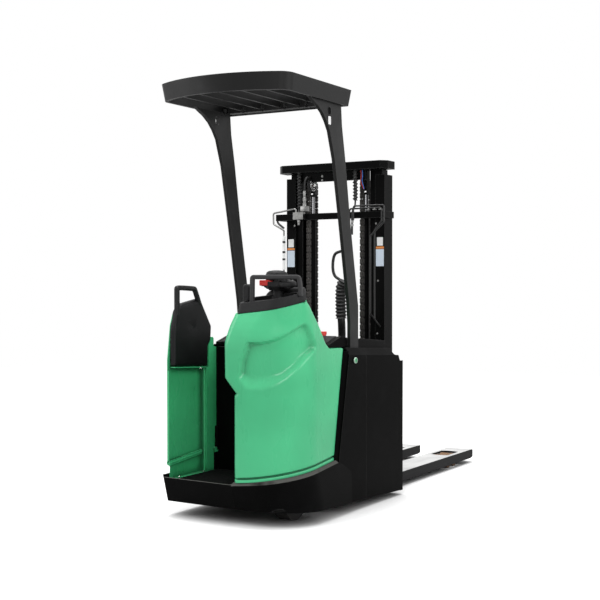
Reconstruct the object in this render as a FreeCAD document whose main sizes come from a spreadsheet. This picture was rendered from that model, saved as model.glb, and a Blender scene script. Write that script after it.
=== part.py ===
"""Side-stance electric pallet stacker with a two-stage mast, box forks and an overhead guard.

Frame: +X is the machine's right, +Y points along the forks, +Z is up.  The origin is on the floor in the
middle of the machine's overall length and width.  Lengths are millimetres.
"""
import FreeCAD, Part
import math
import os
import Sketcher
from FreeCAD import Placement, Rotation, Vector

doc = FreeCAD.newDocument("pallet_stacker")

# ---------------------------------------------------------------------------------------------
# Driving dimensions: one spreadsheet, one alias per size
# ---------------------------------------------------------------------------------------------
DIMENSIONS = {
    # overall
    "tip_y": 1365.0, "rear_y": -1365.0, "guard_top": 2232.0,
    # forks and straddle legs
    "fork_length": 1150.0, "fork_width": 180.0, "forks_over": 570.0, "fork_top": 88.0, "fork_plate": 8.0,
    "fork_skirt_low": 30.0, "leg_width": 142.0, "leg_low": 26.0, "leg_high": 74.0, "leg_start": -118.0,
    "leg_nose_y": 1192.0, "leg_cheek": 14.0, "roller_radius": 41.0, "roller_width": 92.0,
    "roller_front_y": 1124.0, "roller_rear_y": 1028.0, "window_start": 968.0, "window_end": 1180.0,
    "window_half": 60.0,
    # base tub and platform
    "base_half": 411.0, "base_top_half": 404.0, "base_low": 50.0, "base_high": 300.0,
    "base_front_y": -640.0,
    "base_low_rear_y": -1191.0, "base_rear_y": -1275.0, "base_corner": 240.0, "base_skew": 26.0,
    "floor_z": 190.0, "lip_z": 205.0, "kerb_z": 218.0, "kerb_x": -397.0, "tub_wall": 14.0,
    "step_right_x": 40.0,
    "rim_bevel": 16.0, "rim_lift": 12.0, "mat_thick": 6.0,
    # body side covers
    "side_half": 400.0, "sheet": 6.0, "side_front_y": -5.0, "seam_y": -460.0,
    "edge_rear_z": 837.0, "edge_front_z": 807.0, "bevel_high": 37.0, "bevel_in": 22.0, "bevel_flange": 15.0,
    "bevel_end_y": -95.0, "cover_front_top_y": -675.0, "cover_front_low_y": -788.0, "bulkhead_y": -785.0,
    # battery, hood and dash ramp
    "battery_half": 318.0, "battery_rear_y": -560.0, "battery_front_y": -190.0, "battery_low": 120.0,
    "battery_high": 790.0, "deck_low": 822.0, "deck_high": 834.0, "hood_half": 350.0, "hood_rear_y": -470.0,
    "hood_front_y": -140.0, "hood_low": 840.0, "hood_rear_z": 915.0, "hood_front_z": 889.0,
    "hood_wall": 8.0,
    "hinge_y": -132.0, "hinge_z": 884.0, "hinge_pin": 5.0, "ramp_right_x": 346.0, "ramp_left_x": -362.0,
    "ramp_low_z": 892.0, "ramp_high_z": 931.0, "ramp_rear_y": -786.0, "ramp_crest_y": -650.0,
    "ramp_front_y": -583.0, "stop_x": 232.0, "stop_y": -642.0,
    # left panel and pad
    "panel_rear_y": -1185.0, "panel_skin": 4.0, "column_rear_y": -885.0, "column_front_y": -818.0,
    "column_top": 920.0, "panel_depth": 40.0, "shelf_low": 757.0, "pad_back_x": -385.0,
    "pad_face_x": -352.0,
    "pad_bevel": 14.0, "handle_x": -374.0, "handle_thick": 22.0,
    # moulded cover, console and controls
    "cover_wall": 12.0, "recess_deep": 9.0, "seam_gap": 1.0, "collar_inset": 10.0, "collar_high": 49.0,
    "collar_lip": 16.0,
    "bowl_floor": 14.0, "tiller_x": 200.0, "tiller_y": -1045.0, "tiller_low": 1131.0, "column_radius": 24.0,
    "boss_radius": 33.0, "boss_top": 1146.0, "tiller_turn": -28.0,
    "grab_z": 1243.0, "grab_tube": 12.5,
    # overhead guard
    "post_inner": 340.0, "post_plate": 20.0, "guard_half": 388.0, "fascia_high": 86.0,
    "guard_front_y": -615.0,
    "guard_sag": 112.0, "guard_corner": 90.0, "frame_ring": 46.0, "bar_pitch": 120.0,
    # mast
    "rail_outer_x": 326.0, "rail_web": 12.0, "rail_rear_y": -92.0, "rail_front_y": 8.0, "rail_flange": 60.0,
    "mast_low": 60.0, "inner_low": 84.0, "outer_rail_top": 1836.0, "inner_rail_top": 1866.0,
    "beam_top": 1911.0, "beam_half": 358.0, "inner_rail_x": 289.0, "inner_rail_in": 226.0, "chain_x": 178.0,
    "sheave_y": -42.0, "sheave_z": 1786.0, "sheave_radius": 36.0, "chain_width": 25.0,
    "barrel_radius": 22.0,
    "rod_radius": 16.0, "barrel_top": 1600.0, "anchor_z": 340.0, "hitch_z": 300.0, "crossbar_top": 1622.0,
    "crossbar_high": 37.0, "crossbar_rear_y": -158.0, "pipe_radius": 5.0, "pipe_bend": 12.0,
    # running gear
    "drive_x": 205.0, "drive_y": -940.0, "drive_radius": 115.0, "drive_width": 75.0, "turret_ring": 134.0,
    "turret_bore": 127.0, "neck_radius": 105.0, "mount_low": 216.0, "mount_high": 62.0,
    "caster_x": -250.0, "caster_y": -790.0, "caster_radius": 62.0, "caster_width": 50.0,
    "caster_trail": 38.0,
}

sheet = doc.addObject("Spreadsheet::Sheet", "Dims")
for row, (alias, value) in enumerate(DIMENSIONS.items(), start=1):
    sheet.set(f"A{row}", alias)
    sheet.set(f"B{row}", f"{value:g}")
    sheet.setAlias(f"B{row}", alias)
doc.recompute()


class Size:
    """A length that carries the spreadsheet formula it comes from."""

    def __init__(self, value, formula):
        self.value = value
        self.formula = formula

    @staticmethod
    def of(number):
        return number if isinstance(number, Size) else Size(float(number), f"({number:g})")

    def join(self, other, sign, value):
        return Size(value, f"({self.formula} {sign} {other.formula})")

    def __add__(self, other):
        other = Size.of(other)
        return self.join(other, "+", self.value + other.value)

    def __sub__(self, other):
        other = Size.of(other)
        return self.join(other, "-", self.value - other.value)

    def __mul__(self, other):
        other = Size.of(other)
        return self.join(other, "*", self.value * other.value)

    def __truediv__(self, other):
        other = Size.of(other)
        return self.join(other, "/", self.value / other.value)

    def __neg__(self):
        return Size(-self.value, f"(-1 * {self.formula})")

    def __radd__(self, other):
        return Size.of(other) + self

    def __rsub__(self, other):
        return Size.of(other) - self

    def __rmul__(self, other):
        return Size.of(other) * self

    def __float__(self):
        return self.value


class Sheet:
    """dim.alias gives that spreadsheet cell as a Size."""

    def __getattr__(self, alias):
        return Size(float(sheet.get(alias)), f"Dims.{alias}")


dim = Sheet()
NODES = []


# ---------------------------------------------------------------------------------------------
# Building helpers
# ---------------------------------------------------------------------------------------------
def node(shape_object, name):
    """Name a finished sub-part; its label becomes its file name."""
    shape_object.Label = name
    NODES.append(shape_object)
    return shape_object


def bind(target, **sizes):
    """Set properties and tie them to their formulas; Base_x style names reach into the Placement."""
    for key, size in sizes.items():
        size = Size.of(size)
        if key in ("x", "y", "z"):
            target.setExpression(f"Placement.Base.{key}", size.formula)
        else:
            setattr(target, key, size.value)
            target.setExpression(key, size.formula)
    return target


def box(name, x, y, z):
    """A Part box from three (low, high) pairs."""
    solid = doc.addObject("Part::Box", name)
    lows = [Size.of(pair[0]) for pair in (x, y, z)]
    spans = [Size.of(pair[1]) - low for pair, low in zip((x, y, z), lows)]
    return bind(solid, Length=spans[0], Width=spans[1], Height=spans[2], x=lows[0], y=lows[1], z=lows[2])


AXIS_TURN = {"x": Rotation(Vector(0, 1, 0), 90), "y": Rotation(Vector(1, 0, 0), -90), "z": Rotation()}


def cylinder(name, axis, start, radius, length):
    """A Part cylinder that runs from start along +axis."""
    solid = doc.addObject("Part::Cylinder", name)
    solid.Placement = Placement(Vector(*[float(part) for part in start]), AXIS_TURN[axis])
    return bind(solid, Radius=radius, Height=length, x=start[0], y=start[1], z=start[2])


def tube(name, axis, start, radius, bore, length):
    """A cylinder with a concentric bore."""
    outer = cylinder(name + "_outer", axis, start, radius, length)
    inner = cylinder(name + "_bore", axis, start, bore, length)
    return cut(name, outer, inner)


def cut(name, base, *tools):
    """Take one or more tools from a solid."""
    result = doc.addObject("Part::Cut", name)
    result.Base = base
    result.Tool = tools[0] if len(tools) == 1 else fuse(name + "_tools", *tools)
    return result


def fuse(name, *parts):
    """Join solids into one."""
    result = doc.addObject("Part::MultiFuse", name)
    result.Shapes = list(parts)
    return result


def group(name, *parts):
    """Keep solids that don't touch together as one sub-part."""
    result = doc.addObject("Part::Compound", name)
    result.Links = list(parts)
    return result


def mirrored(name, source):
    """The same piece on the other side of the machine."""
    result = doc.addObject("Part::Mirroring", name)
    result.Source = source
    result.Normal = Vector(1, 0, 0)
    return result


def pair(name, right):
    """A right-hand piece and its left-hand mirror image as one sub-part."""
    return group(name, right, mirrored(name + "_left", right))


def shape(name, solid):
    """A sub-part whose outline needs Part's own functions."""
    result = doc.addObject("Part::Feature", name)
    result.Shape = solid
    return result


def plane_of(body, role):
    return next(feature for feature in body.Origin.OriginFeatures if feature.Role == role + "_Plane")


def polygon(body, name, role, offset, corners):
    """A closed sketch whose every corner is held by two dimensions that follow the sheet."""
    sketch = body.newObject("Sketcher::SketchObject", name)
    sketch.AttachmentSupport = [(plane_of(body, role), "")]
    sketch.MapMode = "FlatFace"
    sketch.AttachmentOffset = Placement(Vector(0, 0, float(offset)), Rotation())
    sketch.setExpression("AttachmentOffset.Base.z", Size.of(offset).formula)
    points = [Vector(float(u), float(v), 0) for u, v in corners]
    for index, point in enumerate(points):
        sketch.addGeometry(Part.LineSegment(point, points[(index + 1) % len(points)]), False)
    for index in range(len(points)):
        follower = (index + 1) % len(points)
        sketch.addConstraint(Sketcher.Constraint("Coincident", index, 2, follower, 1))
    for index, corner in enumerate(corners):
        for kind, size in zip(("DistanceX", "DistanceY"), corner):
            number = sketch.addConstraint(Sketcher.Constraint(kind, -1, 1, index, 1, float(size)))
            sketch.setExpression(f"Constraints[{number}]", Size.of(size).formula)
    return sketch


def prism(name, role, low, high, corners):
    """A PartDesign body: a polygon padded from low to high along the normal of one origin plane."""
    body = doc.addObject("PartDesign::Body", name)
    low, high = Size.of(low), Size.of(high)
    start = -high if role == "XZ" else low       # the XZ plane's normal points along -Y
    sketch = polygon(body, name + "_outline", role, start, corners)
    pad = body.newObject("PartDesign::Pad", name + "_pad")
    pad.Profile = sketch
    sketch.Visibility = False
    bind(pad, Length=high - low)
    return body


def rounded(name, body, radius, test):
    """Fillet the edges of a body's tip that pass a test on their midpoint and direction."""
    doc.recompute()
    tip = body.Tip
    picked = [f"Edge{number}" for number, edge in enumerate(tip.Shape.Edges, start=1)
              if test(edge.CenterOfMass, edge.tangentAt(edge.FirstParameter))]
    if not picked:
        raise ValueError(f"{name}: no edge to round")
    fillet = body.newObject("PartDesign::Fillet", name)
    fillet.Base = (tip, picked)
    bind(fillet, Radius=radius)
    return body


def rounded_wire(corners, z):
    """A closed horizontal wire through (x, y, radius) corners, each rounded by an arc."""
    points = [Vector(x, y, z) for x, y, radius in corners]
    count = len(points)
    edges = []
    starts, ends, middles = [], [], []
    for index, (x, y, radius) in enumerate(corners):
        here = points[index]
        back = (points[index - 1] - here).normalize()
        ahead = (points[(index + 1) % count] - here).normalize()
        half = back.getAngle(ahead) / 2
        reach = radius / math.tan(half)
        bisector = (back + ahead).normalize()
        starts.append(here + back * reach)
        ends.append(here + ahead * reach)
        middles.append(here + bisector * (radius / math.sin(half) - radius))
    for index in range(count):
        edges.append(Part.Arc(starts[index], middles[index], ends[index]).toShape())
        edges.append(Part.LineSegment(ends[index], starts[(index + 1) % count]).toShape())
    return Part.Wire(edges)


def pipe_path(points, radius):
    """Straight runs through points, joined by tangent arcs."""
    edges = []
    last = points[0]
    for index in range(1, len(points) - 1):
        here = points[index]
        back = (points[index - 1] - here).normalize()
        ahead = (points[index + 1] - here).normalize()
        half = back.getAngle(ahead) / 2
        reach = radius / math.tan(half)
        start = here + back * reach
        end = here + ahead * reach
        middle = here + (back + ahead).normalize() * (radius / math.sin(half) - radius)
        edges.append(Part.LineSegment(last, start).toShape())
        edges.append(Part.Arc(start, middle, end).toShape())
        last = end
    edges.append(Part.LineSegment(last, points[-1]).toShape())
    return Part.Wire(edges)


def pipe(points, radius, bend):
    """A round bar bent along a path."""
    path = pipe_path(points, bend)
    first = path.Edges[0]
    circle = Part.Wire(Part.makeCircle(radius, points[0], first.tangentAt(first.FirstParameter)))
    return path.makePipeShell([circle], True, False)


def number(alias):
    """A cell's plain value, for shapes made with Part's own functions."""
    return float(sheet.get(alias))


def rim_plane(x, y):
    """Height of the tub's rim: it climbs to the right and towards the mast."""
    return 195 + 0.10 * x + 0.11 * (y + 1250)


def head_plane(x, y):
    """Height of the moulded cover's upper rim: it climbs to the right and towards the mast."""
    return 1058 + 0.104 * (x - 50) + 0.22 * (y + 1195)


def hem(y):
    """Height of the body's lower edge: it rises gently towards the platform."""
    return 28.5 - 0.0415 * (y + 34)


def above(plane, lift, x, y, height=400):
    """The room above a tilted plane that is lifted by an offset; a negative height gives the room below."""
    corners = [(x[0], y[0]), (x[1], y[0]), (x[1], y[1]), (x[0], y[1])]
    start = lift + min(height, 0)
    ring = [Vector(u, v, plane(u, v) + start) for u, v in corners]
    return Part.Face(Part.makePolygon(ring + ring[:1])).extrude(Vector(0, 0, abs(height)))


def flat_prism(corners, y):
    """A prism along Y over an (x, z) outline."""
    ring = [Vector(u, y[0], v) for u, v in corners]
    return Part.Face(Part.makePolygon(ring + ring[:1])).extrude(Vector(0, y[1] - y[0], 0))


# ---------------------------------------------------------------------------------------------
# Forks, straddle legs and load rollers
# ---------------------------------------------------------------------------------------------
heel_y = dim.tip_y - dim.fork_length
fork_centre = (dim.forks_over - dim.fork_width) / 2


def build_forks():
    """Box forks: a top plate and two skirts over each leg, a nose, and a window above the rollers."""
    half = dim.fork_width / 2
    skirt = dim.fork_plate
    outline = [(-half, dim.fork_skirt_low), (skirt - half, dim.fork_skirt_low),
               (skirt - half, dim.fork_top - skirt), (half - skirt, dim.fork_top - skirt),
               (half - skirt, dim.fork_skirt_low), (half, dim.fork_skirt_low),
               (half, dim.fork_top), (-half, dim.fork_top)]
    channel = prism("fork_channel", "XZ", heel_y, dim.tip_y - 60,
                    [(u + fork_centre, v) for u, v in outline])
    nose = prism("fork_nose", "YZ", fork_centre - half, fork_centre + half,
                 [(dim.tip_y - 100, dim.fork_top - 30), (dim.tip_y - 60, dim.fork_skirt_low),
                  (dim.tip_y - 26, dim.fork_skirt_low + 6), (dim.tip_y, dim.fork_top - 28),
                  (dim.tip_y, dim.fork_top - 9), (dim.tip_y - 34, dim.fork_top),
                  (dim.tip_y - 100, dim.fork_top)])
    rounded("fork_nose_corners", nose, 26,
            lambda centre, direction: abs(direction.z) > 0.9 and centre.y > number("tip_y") - 1)
    blank = fuse("fork_blank", channel, nose)
    middle = (dim.window_start + dim.window_end) / 2
    slot_box = box("window_box", (fork_centre - dim.window_half, fork_centre + dim.window_half),
                   (dim.window_start + 30, dim.window_end - 30), (dim.fork_top - 20, dim.fork_top + 10))
    disc = cylinder("window_disc", "z", (fork_centre, middle, dim.fork_top - 20),
                    (dim.window_end - dim.window_start) / 2, 30)
    lens = doc.addObject("Part::MultiCommon", "window_lens")
    wide = box("window_wide", (fork_centre - dim.window_half, fork_centre + dim.window_half),
               (dim.window_start, dim.window_end), (dim.fork_top - 20, dim.fork_top + 10))
    lens.Shapes = [wide, disc]
    window = fuse("fork_window", slot_box, lens)
    return node(pair("forks", cut("fork_right", blank, window)), "forks")


def build_legs():
    """Straddle legs under the forks: a box that opens to two cheeks round the tandem rollers."""
    half = dim.leg_width / 2
    left, right = fork_centre - half, fork_centre + half
    cheek = dim.leg_cheek
    bar = box("leg_bar", (left, right), (dim.leg_start, dim.leg_nose_y), (dim.leg_low, dim.leg_high))
    hollow = box("leg_hollow", (left + 8, right - 8), (dim.leg_start + 60, dim.roller_rear_y - 80),
                 (dim.leg_low - 1, dim.leg_high - 8))
    gap = box("leg_roller_gap", (left + cheek, right - cheek),
              (dim.roller_rear_y - 52, dim.roller_front_y + 52), (dim.leg_low - 1, dim.leg_high + 1))
    nose_cut = prism("leg_nose_cut", "YZ", left - 1, right + 1,
                     [(dim.leg_nose_y - 40, dim.leg_low - 1), (dim.leg_nose_y + 1, dim.leg_low - 1),
                      (dim.leg_nose_y + 1, dim.leg_low + 26)])
    axle_holes = [cylinder(f"leg_axle_hole_{index}", "x", (left - 1, y, dim.roller_radius), 10,
                           dim.leg_width + 2)
                  for index, y in enumerate((dim.roller_rear_y, dim.roller_front_y))]
    frame = cut("leg_frame", bar, hollow, gap, nose_cut, *axle_holes)
    axles = [cylinder(f"leg_axle_{index}", "x", (left, y, dim.roller_radius), 10, dim.leg_width)
             for index, y in enumerate((dim.roller_rear_y, dim.roller_front_y))]
    return node(pair("legs", fuse("leg_right", frame, *axles)), "straddle_legs")


def build_load_rollers():
    """Four tandem rollers: a tyre band on a hub, running on the leg's axles."""
    bore = 10.05
    for side, sign in (("left", -1), ("right", 1)):
        for place, y in (("rear", dim.roller_rear_y), ("front", dim.roller_front_y)):
            name = f"load_roller_{side}_{place}"
            start = fork_centre * sign - dim.roller_width / 2
            tread = cylinder(name + "_tread", "x", (start, y, dim.roller_radius), dim.roller_radius,
                             dim.roller_width)
            hole = cylinder(name + "_hole", "x", (start - 1, y, dim.roller_radius), bore,
                            dim.roller_width + 2)
            node(cut(name + "_part", tread, hole), name)


# ---------------------------------------------------------------------------------------------
# Base tub, platform and body panels
# ---------------------------------------------------------------------------------------------
def tub_wire(z, grow, front):
    """Plan of the base at one height: a large round at the rear right, a small one at the rear left."""
    rise = (z - number("base_low")) / (number("base_high") - number("base_low"))
    half = number("base_half") + rise * (number("base_top_half") - number("base_half")) + grow
    rear = number("base_low_rear_y") + rise * (number("base_rear_y") - number("base_low_rear_y")) - grow
    return rounded_wire([(half, front, 6), (half, rear, number("base_corner") + grow), (60, rear, 900),
                         (-half, rear + number("base_skew"), 22), (-half, front, 6)], z)


def tub_body(rows, front):
    """Loft through plans given as (height, plan height, growth)."""
    wires = []
    for z, plan_z, grow in rows:
        wire = tub_wire(plan_z, grow, front)
        wire.translate(Vector(0, 0, z - plan_z))
        wires.append(wire)
    return Part.makeLoft(wires, True, True)


def sheared(solid):
    """Lean a solid so that its level planes follow the tilted rim."""
    across = rim_plane(1, 0) - rim_plane(0, 0)
    along = rim_plane(0, 1) - rim_plane(0, 0)
    lean = FreeCAD.Matrix(1, 0, 0, 0,
                          0, 1, 0, 0,
                          across, along, 1, rim_plane(0, 0),
                          0, 0, 0, 1)
    return solid.transformGeometry(lean)


def build_base():
    """Hollow tub: leaning skirt, hem that rises to the rear, tilted bevelled rim, level platform."""
    high, floor, wall = number("base_high"), number("floor_z"), number("tub_wall")
    step, front = number("step_right_x"), number("base_front_y")
    lift, bevel = number("rim_lift"), number("rim_bevel")
    seat, hem_level = rim_plane(step, -1250), number("base_low")
    deep = hem_level - seat
    right = sheared(tub_body(((deep - 120, hem_level, 0), (deep, hem_level, 0), (0, seat, 0),
                              (lift, seat, -bevel)), front))
    right_hollow = sheared(tub_body(((deep - 140, hem_level, -wall), (deep, hem_level, -wall),
                                     (lift - wall, seat, -wall)), front - wall))
    left = tub_body(((0, 0, 0), (high, high, 0)), front)
    left_hollow = tub_body(((-20, 0, -wall), (floor - wall, floor, -wall)), front - wall)
    right_room = Part.makeBox(500, 1000, 600, Vector(step, -1400, 0))
    left_room = Part.makeBox(500 + step, 1000, 600, Vector(-500, -1400, 0))
    shell = left.common(left_room).fuse(right.common(right_room))
    hollow_room = Part.makeBox(500, 1000, 600, Vector(step + wall, -1400, -100))
    shell = shell.cut(left_hollow).cut(right_hollow.common(hollow_room))
    shell = shell.cut(above(lambda x, y: hem(y), 0, (-500, 500), (-1400, -600), -400)).removeSplitter()
    well = box("platform_well", (dim.kerb_x, dim.step_right_x), (dim.rear_y - 50, dim.base_front_y + 50),
               (dim.lip_z, dim.base_high + 50))
    sunk = prism("platform_sunk", "XY", dim.floor_z, dim.base_high,
                 [(dim.kerb_x, dim.base_rear_y + 73), (26, dim.base_rear_y + 46),
                  (26, dim.base_front_y + 1),
                  (dim.kerb_x, dim.base_front_y + 1)])
    kerb = box("kerb_top", (-500, dim.kerb_x), (dim.rear_y - 50, dim.base_front_y + 50),
               (dim.kerb_z, dim.base_high + 50))
    pocket = prism("drive_pocket", "XY", dim.floor_z - 20, dim.base_high + 50,
                   [(60, -798), (360, -798), (360, -1000), (318, -1092), (245, -1160), (160, -1190),
                    (60, -1195)])
    low_y = dim.base_front_y - 8
    drive_hole = cylinder("drive_hole", "z", (dim.drive_x, dim.drive_y, 100), dim.turret_bore, 300)
    shoulder = prism("tub_shoulder", "YZ", dim.step_right_x, 500,
                     [(low_y, -10), (low_y, 204), (low_y - 12, 226), (-696, 246), (-741, 267), (-788, 286),
                      (-788, 400), (-600, 400), (-600, -10)])
    return node(cut("tub", shape("tub_shell", shell), well, sunk, kerb, pocket, drive_hole, shoulder),
                "base_tub")


def build_platform_mat():
    mat = prism("mat", "XY", dim.floor_z, dim.floor_z + dim.mat_thick,
                [(-340, -1188), (18, -1214), (18, -797), (-340, -797)])
    return node(mat, "platform_mat")


def build_bulkhead():
    """Operator-side wall of the battery bay, cut to follow the waist of the moulded cover."""
    waist = [(34, 600), (34, 652), (-24, 734), (-24, 866)]
    plate = prism("bulkhead_plate", "XZ", dim.bulkhead_y, dim.bulkhead_y + 10,
                  [(-352, dim.floor_z), (26, dim.floor_z), (26, dim.lip_z), (34, dim.lip_z), *waist,
                   (-352, 866)])
    lip = box("bulkhead_lip", (-352, -24), (dim.bulkhead_y, dim.bulkhead_y + 30), (854, 866))
    return node(fuse("bulkhead", plate, lip), "cabin_bulkhead")


def edge_height(y):
    """Height of the sharp line where a body side turns into its bevel."""
    share = (y - number("cover_front_top_y")) / (number("bevel_end_y") - number("cover_front_top_y"))
    return number("edge_rear_z") + share * (number("edge_front_z") - number("edge_rear_z"))


def bevel_strip(name, rear_y, front_y, nose):
    """Slanting upper edge of a body side: outer bevel with a narrow inward flange."""
    wires = []
    for y, slide in ((rear_y, 0), (front_y, 0), (front_y + nose, 1)):
        share = (y - number("cover_front_top_y")) / (number("bevel_end_y") - number("cover_front_top_y"))
        edge = number("edge_rear_z") + share * (number("edge_front_z") - number("edge_rear_z"))
        out, sheet_thick = number("side_half"), number("sheet")
        high = number("bevel_high") * (1 - 0.96 * slide) + 0.5
        inward = number("bevel_in")
        flange = number("bevel_flange")
        corners = [(out, edge), (out - inward, edge + high), (out - inward - flange, edge + high),
                   (out - inward - flange, edge + high - sheet_thick),
                   (out - inward - 3, edge + high - sheet_thick), (out - sheet_thick, edge - 3)]
        wires.append(Part.makePolygon([Vector(x, y, z) for x, z in corners + corners[:1]]))
    count = 2 if nose == 0 else 3
    return shape(name, Part.makeLoft(wires[:count], True, True))


def build_side_covers():
    """Rear body covers; the right one leans with the moulded cover and turns inwards beside it."""
    out, inside = dim.side_half, dim.side_half - dim.sheet
    start, seam = dim.base_front_y + 4, dim.seam_y - 3
    top_y, low_y = dim.cover_front_top_y + 18, dim.cover_front_low_y + 18
    seam_top, rear_top = edge_height(number("seam_y") - 3), edge_height(number("cover_front_top_y") + 18)
    skin = prism("side_cover_right_skin", "YZ", inside, out,
                 [(start - 9, hem(number("base_front_y"))), (seam, hem(number("seam_y"))), (seam, seam_top),
                  (top_y, rear_top), (low_y, 285), (-740, 270), (-695, 249), (start - 20, 229),
                  (start - 9, 206)])
    turn = prism("side_cover_turn", "YZ", out - 19, inside,
                 [(low_y, 285), (low_y + 6, 283), (top_y + 6, rear_top), (top_y, rear_top)])
    bevel = bevel_strip("side_cover_bevel", number("cover_front_top_y") + 18, number("seam_y") - 3, 0)
    right = fuse("side_cover_right", skin, turn, bevel)
    left_top = edge_height(number("bulkhead_y") + 5)
    left_skin = prism("side_cover_left_skin", "YZ", -out, -inside,
                      [(start, hem(number("base_front_y"))), (seam, hem(number("seam_y"))),
                       (seam, seam_top),
                       (dim.bulkhead_y + 5, left_top), (dim.bulkhead_y + 5, dim.base_high + 4),
                       (start, dim.base_high + 4)])
    left_bevel = mirrored("side_cover_left_bevel",
                          bevel_strip("left_bevel", number("bulkhead_y") + 5, number("seam_y") - 3, 0))
    return node(group("side_cover_group", right, fuse("side_cover_left", left_skin, left_bevel)),
                "side_covers")


def build_side_panels():
    """Front body panels: flat, bevelled at the top and falling away towards the mast."""
    front = dim.side_front_y
    end = dim.bevel_end_y
    skin = prism("side_panel_skin", "YZ", dim.side_half - dim.sheet, dim.side_half,
                 [(dim.seam_y, hem(number("seam_y"))), (front - 29, hem(-34)), (front - 29, hem(-34) - 2),
                  (front, hem(-34) - 2), (front, 771), (front - 11, 771), (front - 37, 772),
                  (front - 58, 805),
                  (end, dim.edge_front_z), (dim.seam_y, edge_height(number("seam_y")))])
    bevel = bevel_strip("side_panel_bevel", number("seam_y"), number("bevel_end_y") - 30, 30)
    return node(pair("side_panel_pair", fuse("side_panel_right", skin, bevel)), "side_panels")


def build_lock_plug():
    ring = cylinder("plug_ring", "x", (dim.side_half, -598, 804), 13, 4)
    core = cylinder("plug_core", "x", (dim.side_half, -598, 804), 8, 7)
    return node(fuse("plug", ring, core), "lock_plug")


def build_chassis_frame():
    """Floor rails, battery tray, front cross plate with the mast shoes, and the deck round the hood."""
    tray = box("battery_tray", (-332, 332), (dim.base_front_y + 4, -175), (100, 110))
    rails = [box(f"floor_rail_{index}", (x, x + 60), (dim.base_front_y + 4, -118), (60, 100))
             for index, x in enumerate((-380, 320))]
    foot = box("mast_foot", (-390, 390), (-168, -118), (30, 300))
    window = box("mast_foot_window", (-130, 130), (-169, -117), (120, 301))
    shoes = [box(f"mast_shoe_{index}", (x, x + 124), (-118, 10), (30, dim.mast_low))
             for index, x in enumerate((-390, 266))]
    beam = cut("mast_foot_cut", foot, window)
    uprights = [box(f"deck_upright_{index}", (x, x + 28), (-150, -118), (300, dim.deck_low))
                for index, x in enumerate((-350, 322))]
    deck_plate = box("deck_plate", (-361, 361), (dim.hood_rear_y, -118), (dim.deck_low, dim.deck_high))
    deck_window = box("deck_window", (-322, 322), (dim.hood_rear_y + 24, -150),
                      (dim.deck_low - 1, dim.deck_high + 1))
    brackets = [box(f"hinge_bracket_{index}", (x, x + 8), (dim.hinge_y - 2, dim.hinge_y + 8),
                    (dim.deck_low, dim.hinge_z + 8)) for index, x in enumerate((-320, 312))]
    pins = [cylinder(f"hinge_pin_{index}", "x", (x, dim.hinge_y, dim.hinge_z), dim.hinge_pin, 50)
            for index, x in enumerate((-320, 270))]
    deck = cut("deck_frame", deck_plate, deck_window)
    return node(fuse("chassis", tray, *rails, beam, *shoes, *uprights, deck, *brackets, *pins),
                "chassis_frame")


def build_battery():
    return node(box("battery", (-dim.battery_half, dim.battery_half),
                    (dim.battery_rear_y, dim.battery_front_y), (dim.battery_low, dim.battery_high)),
                    "battery")


def build_hood():
    """Hinged battery lid: a shallow pressed box whose top sinks inside a raised rim, with hinge barrels."""
    rear, front, half, wall = dim.hood_rear_y, dim.hood_front_y, dim.hood_half, dim.hood_wall
    lid = prism("hood_lid", "YZ", -half, half,
                [(rear, dim.hood_low), (front, dim.hood_low), (front, dim.hood_front_z),
                 (rear, dim.hood_rear_z)])
    sunk = prism("hood_sunk", "YZ", 24 - half, half - 24,
                 [(rear + 24, dim.hood_rear_z - 14), (front - 24, dim.hood_front_z - 12),
                  (front - 24, dim.hood_front_z + 30), (rear + 24, dim.hood_rear_z + 30)])
    hollow = prism("hood_hollow", "YZ", wall - half, half - wall,
                   [(rear + wall, dim.hood_low - 1), (front - wall, dim.hood_low - 1),
                    (front - wall, dim.hood_front_z - 22), (rear + wall, dim.hood_rear_z - 24)])
    barrels = [cylinder(f"hinge_barrel_{index}", "x", (x, dim.hinge_y, dim.hinge_z), 9, 36)
               for index, x in enumerate((-306, 270))]
    shape_of_lid = cut("hood_shell", lid, sunk, hollow)
    recess = [cylinder(f"hinge_room_{index}", "x", (x, dim.hinge_y, dim.hinge_z), dim.hinge_pin + 0.05, 36)
              for index, x in enumerate((-306, 270))]
    return node(cut("hood", fuse("hood_with_barrels", shape_of_lid, *barrels), *recess), "battery_hood")


def build_ramp():
    """Sloping dash plate between the operator's wall and the hood, with its side cheeks."""
    left, right = dim.ramp_left_x, dim.ramp_right_x
    plate = prism("ramp_plate", "YZ", left, right,
                  [(dim.ramp_rear_y, dim.ramp_low_z - 12), (dim.ramp_crest_y, dim.ramp_high_z - 12),
                   (dim.ramp_front_y, dim.ramp_high_z - 20), (dim.ramp_front_y, dim.ramp_high_z - 8),
                   (dim.ramp_crest_y, dim.ramp_high_z), (dim.ramp_rear_y, dim.ramp_low_z)])
    cheek = prism("ramp_cheek", "YZ", -330, right,
                  [(dim.ramp_rear_y, 878), (dim.ramp_front_y, 878),
                   (dim.ramp_front_y, dim.ramp_high_z - 12),
                   (dim.ramp_crest_y, dim.ramp_high_z - 8), (dim.ramp_rear_y, dim.ramp_low_z - 8)])
    hollow = prism("ramp_hollow", "YZ", -318, right - 12,
                   [(dim.ramp_rear_y + 14, 877), (dim.ramp_front_y - 10, 877),
                    (dim.ramp_front_y - 10, dim.ramp_high_z - 24), (dim.ramp_crest_y, dim.ramp_high_z - 14),
                    (dim.ramp_rear_y + 14, dim.ramp_low_z - 10)])
    hole = cylinder("stop_hole", "z", (dim.stop_x, dim.stop_y, 870), 12.5, 80)
    return node(cut("ramp", fuse("ramp_solid", plate, cheek), hollow, hole), "dash_ramp")


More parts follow.
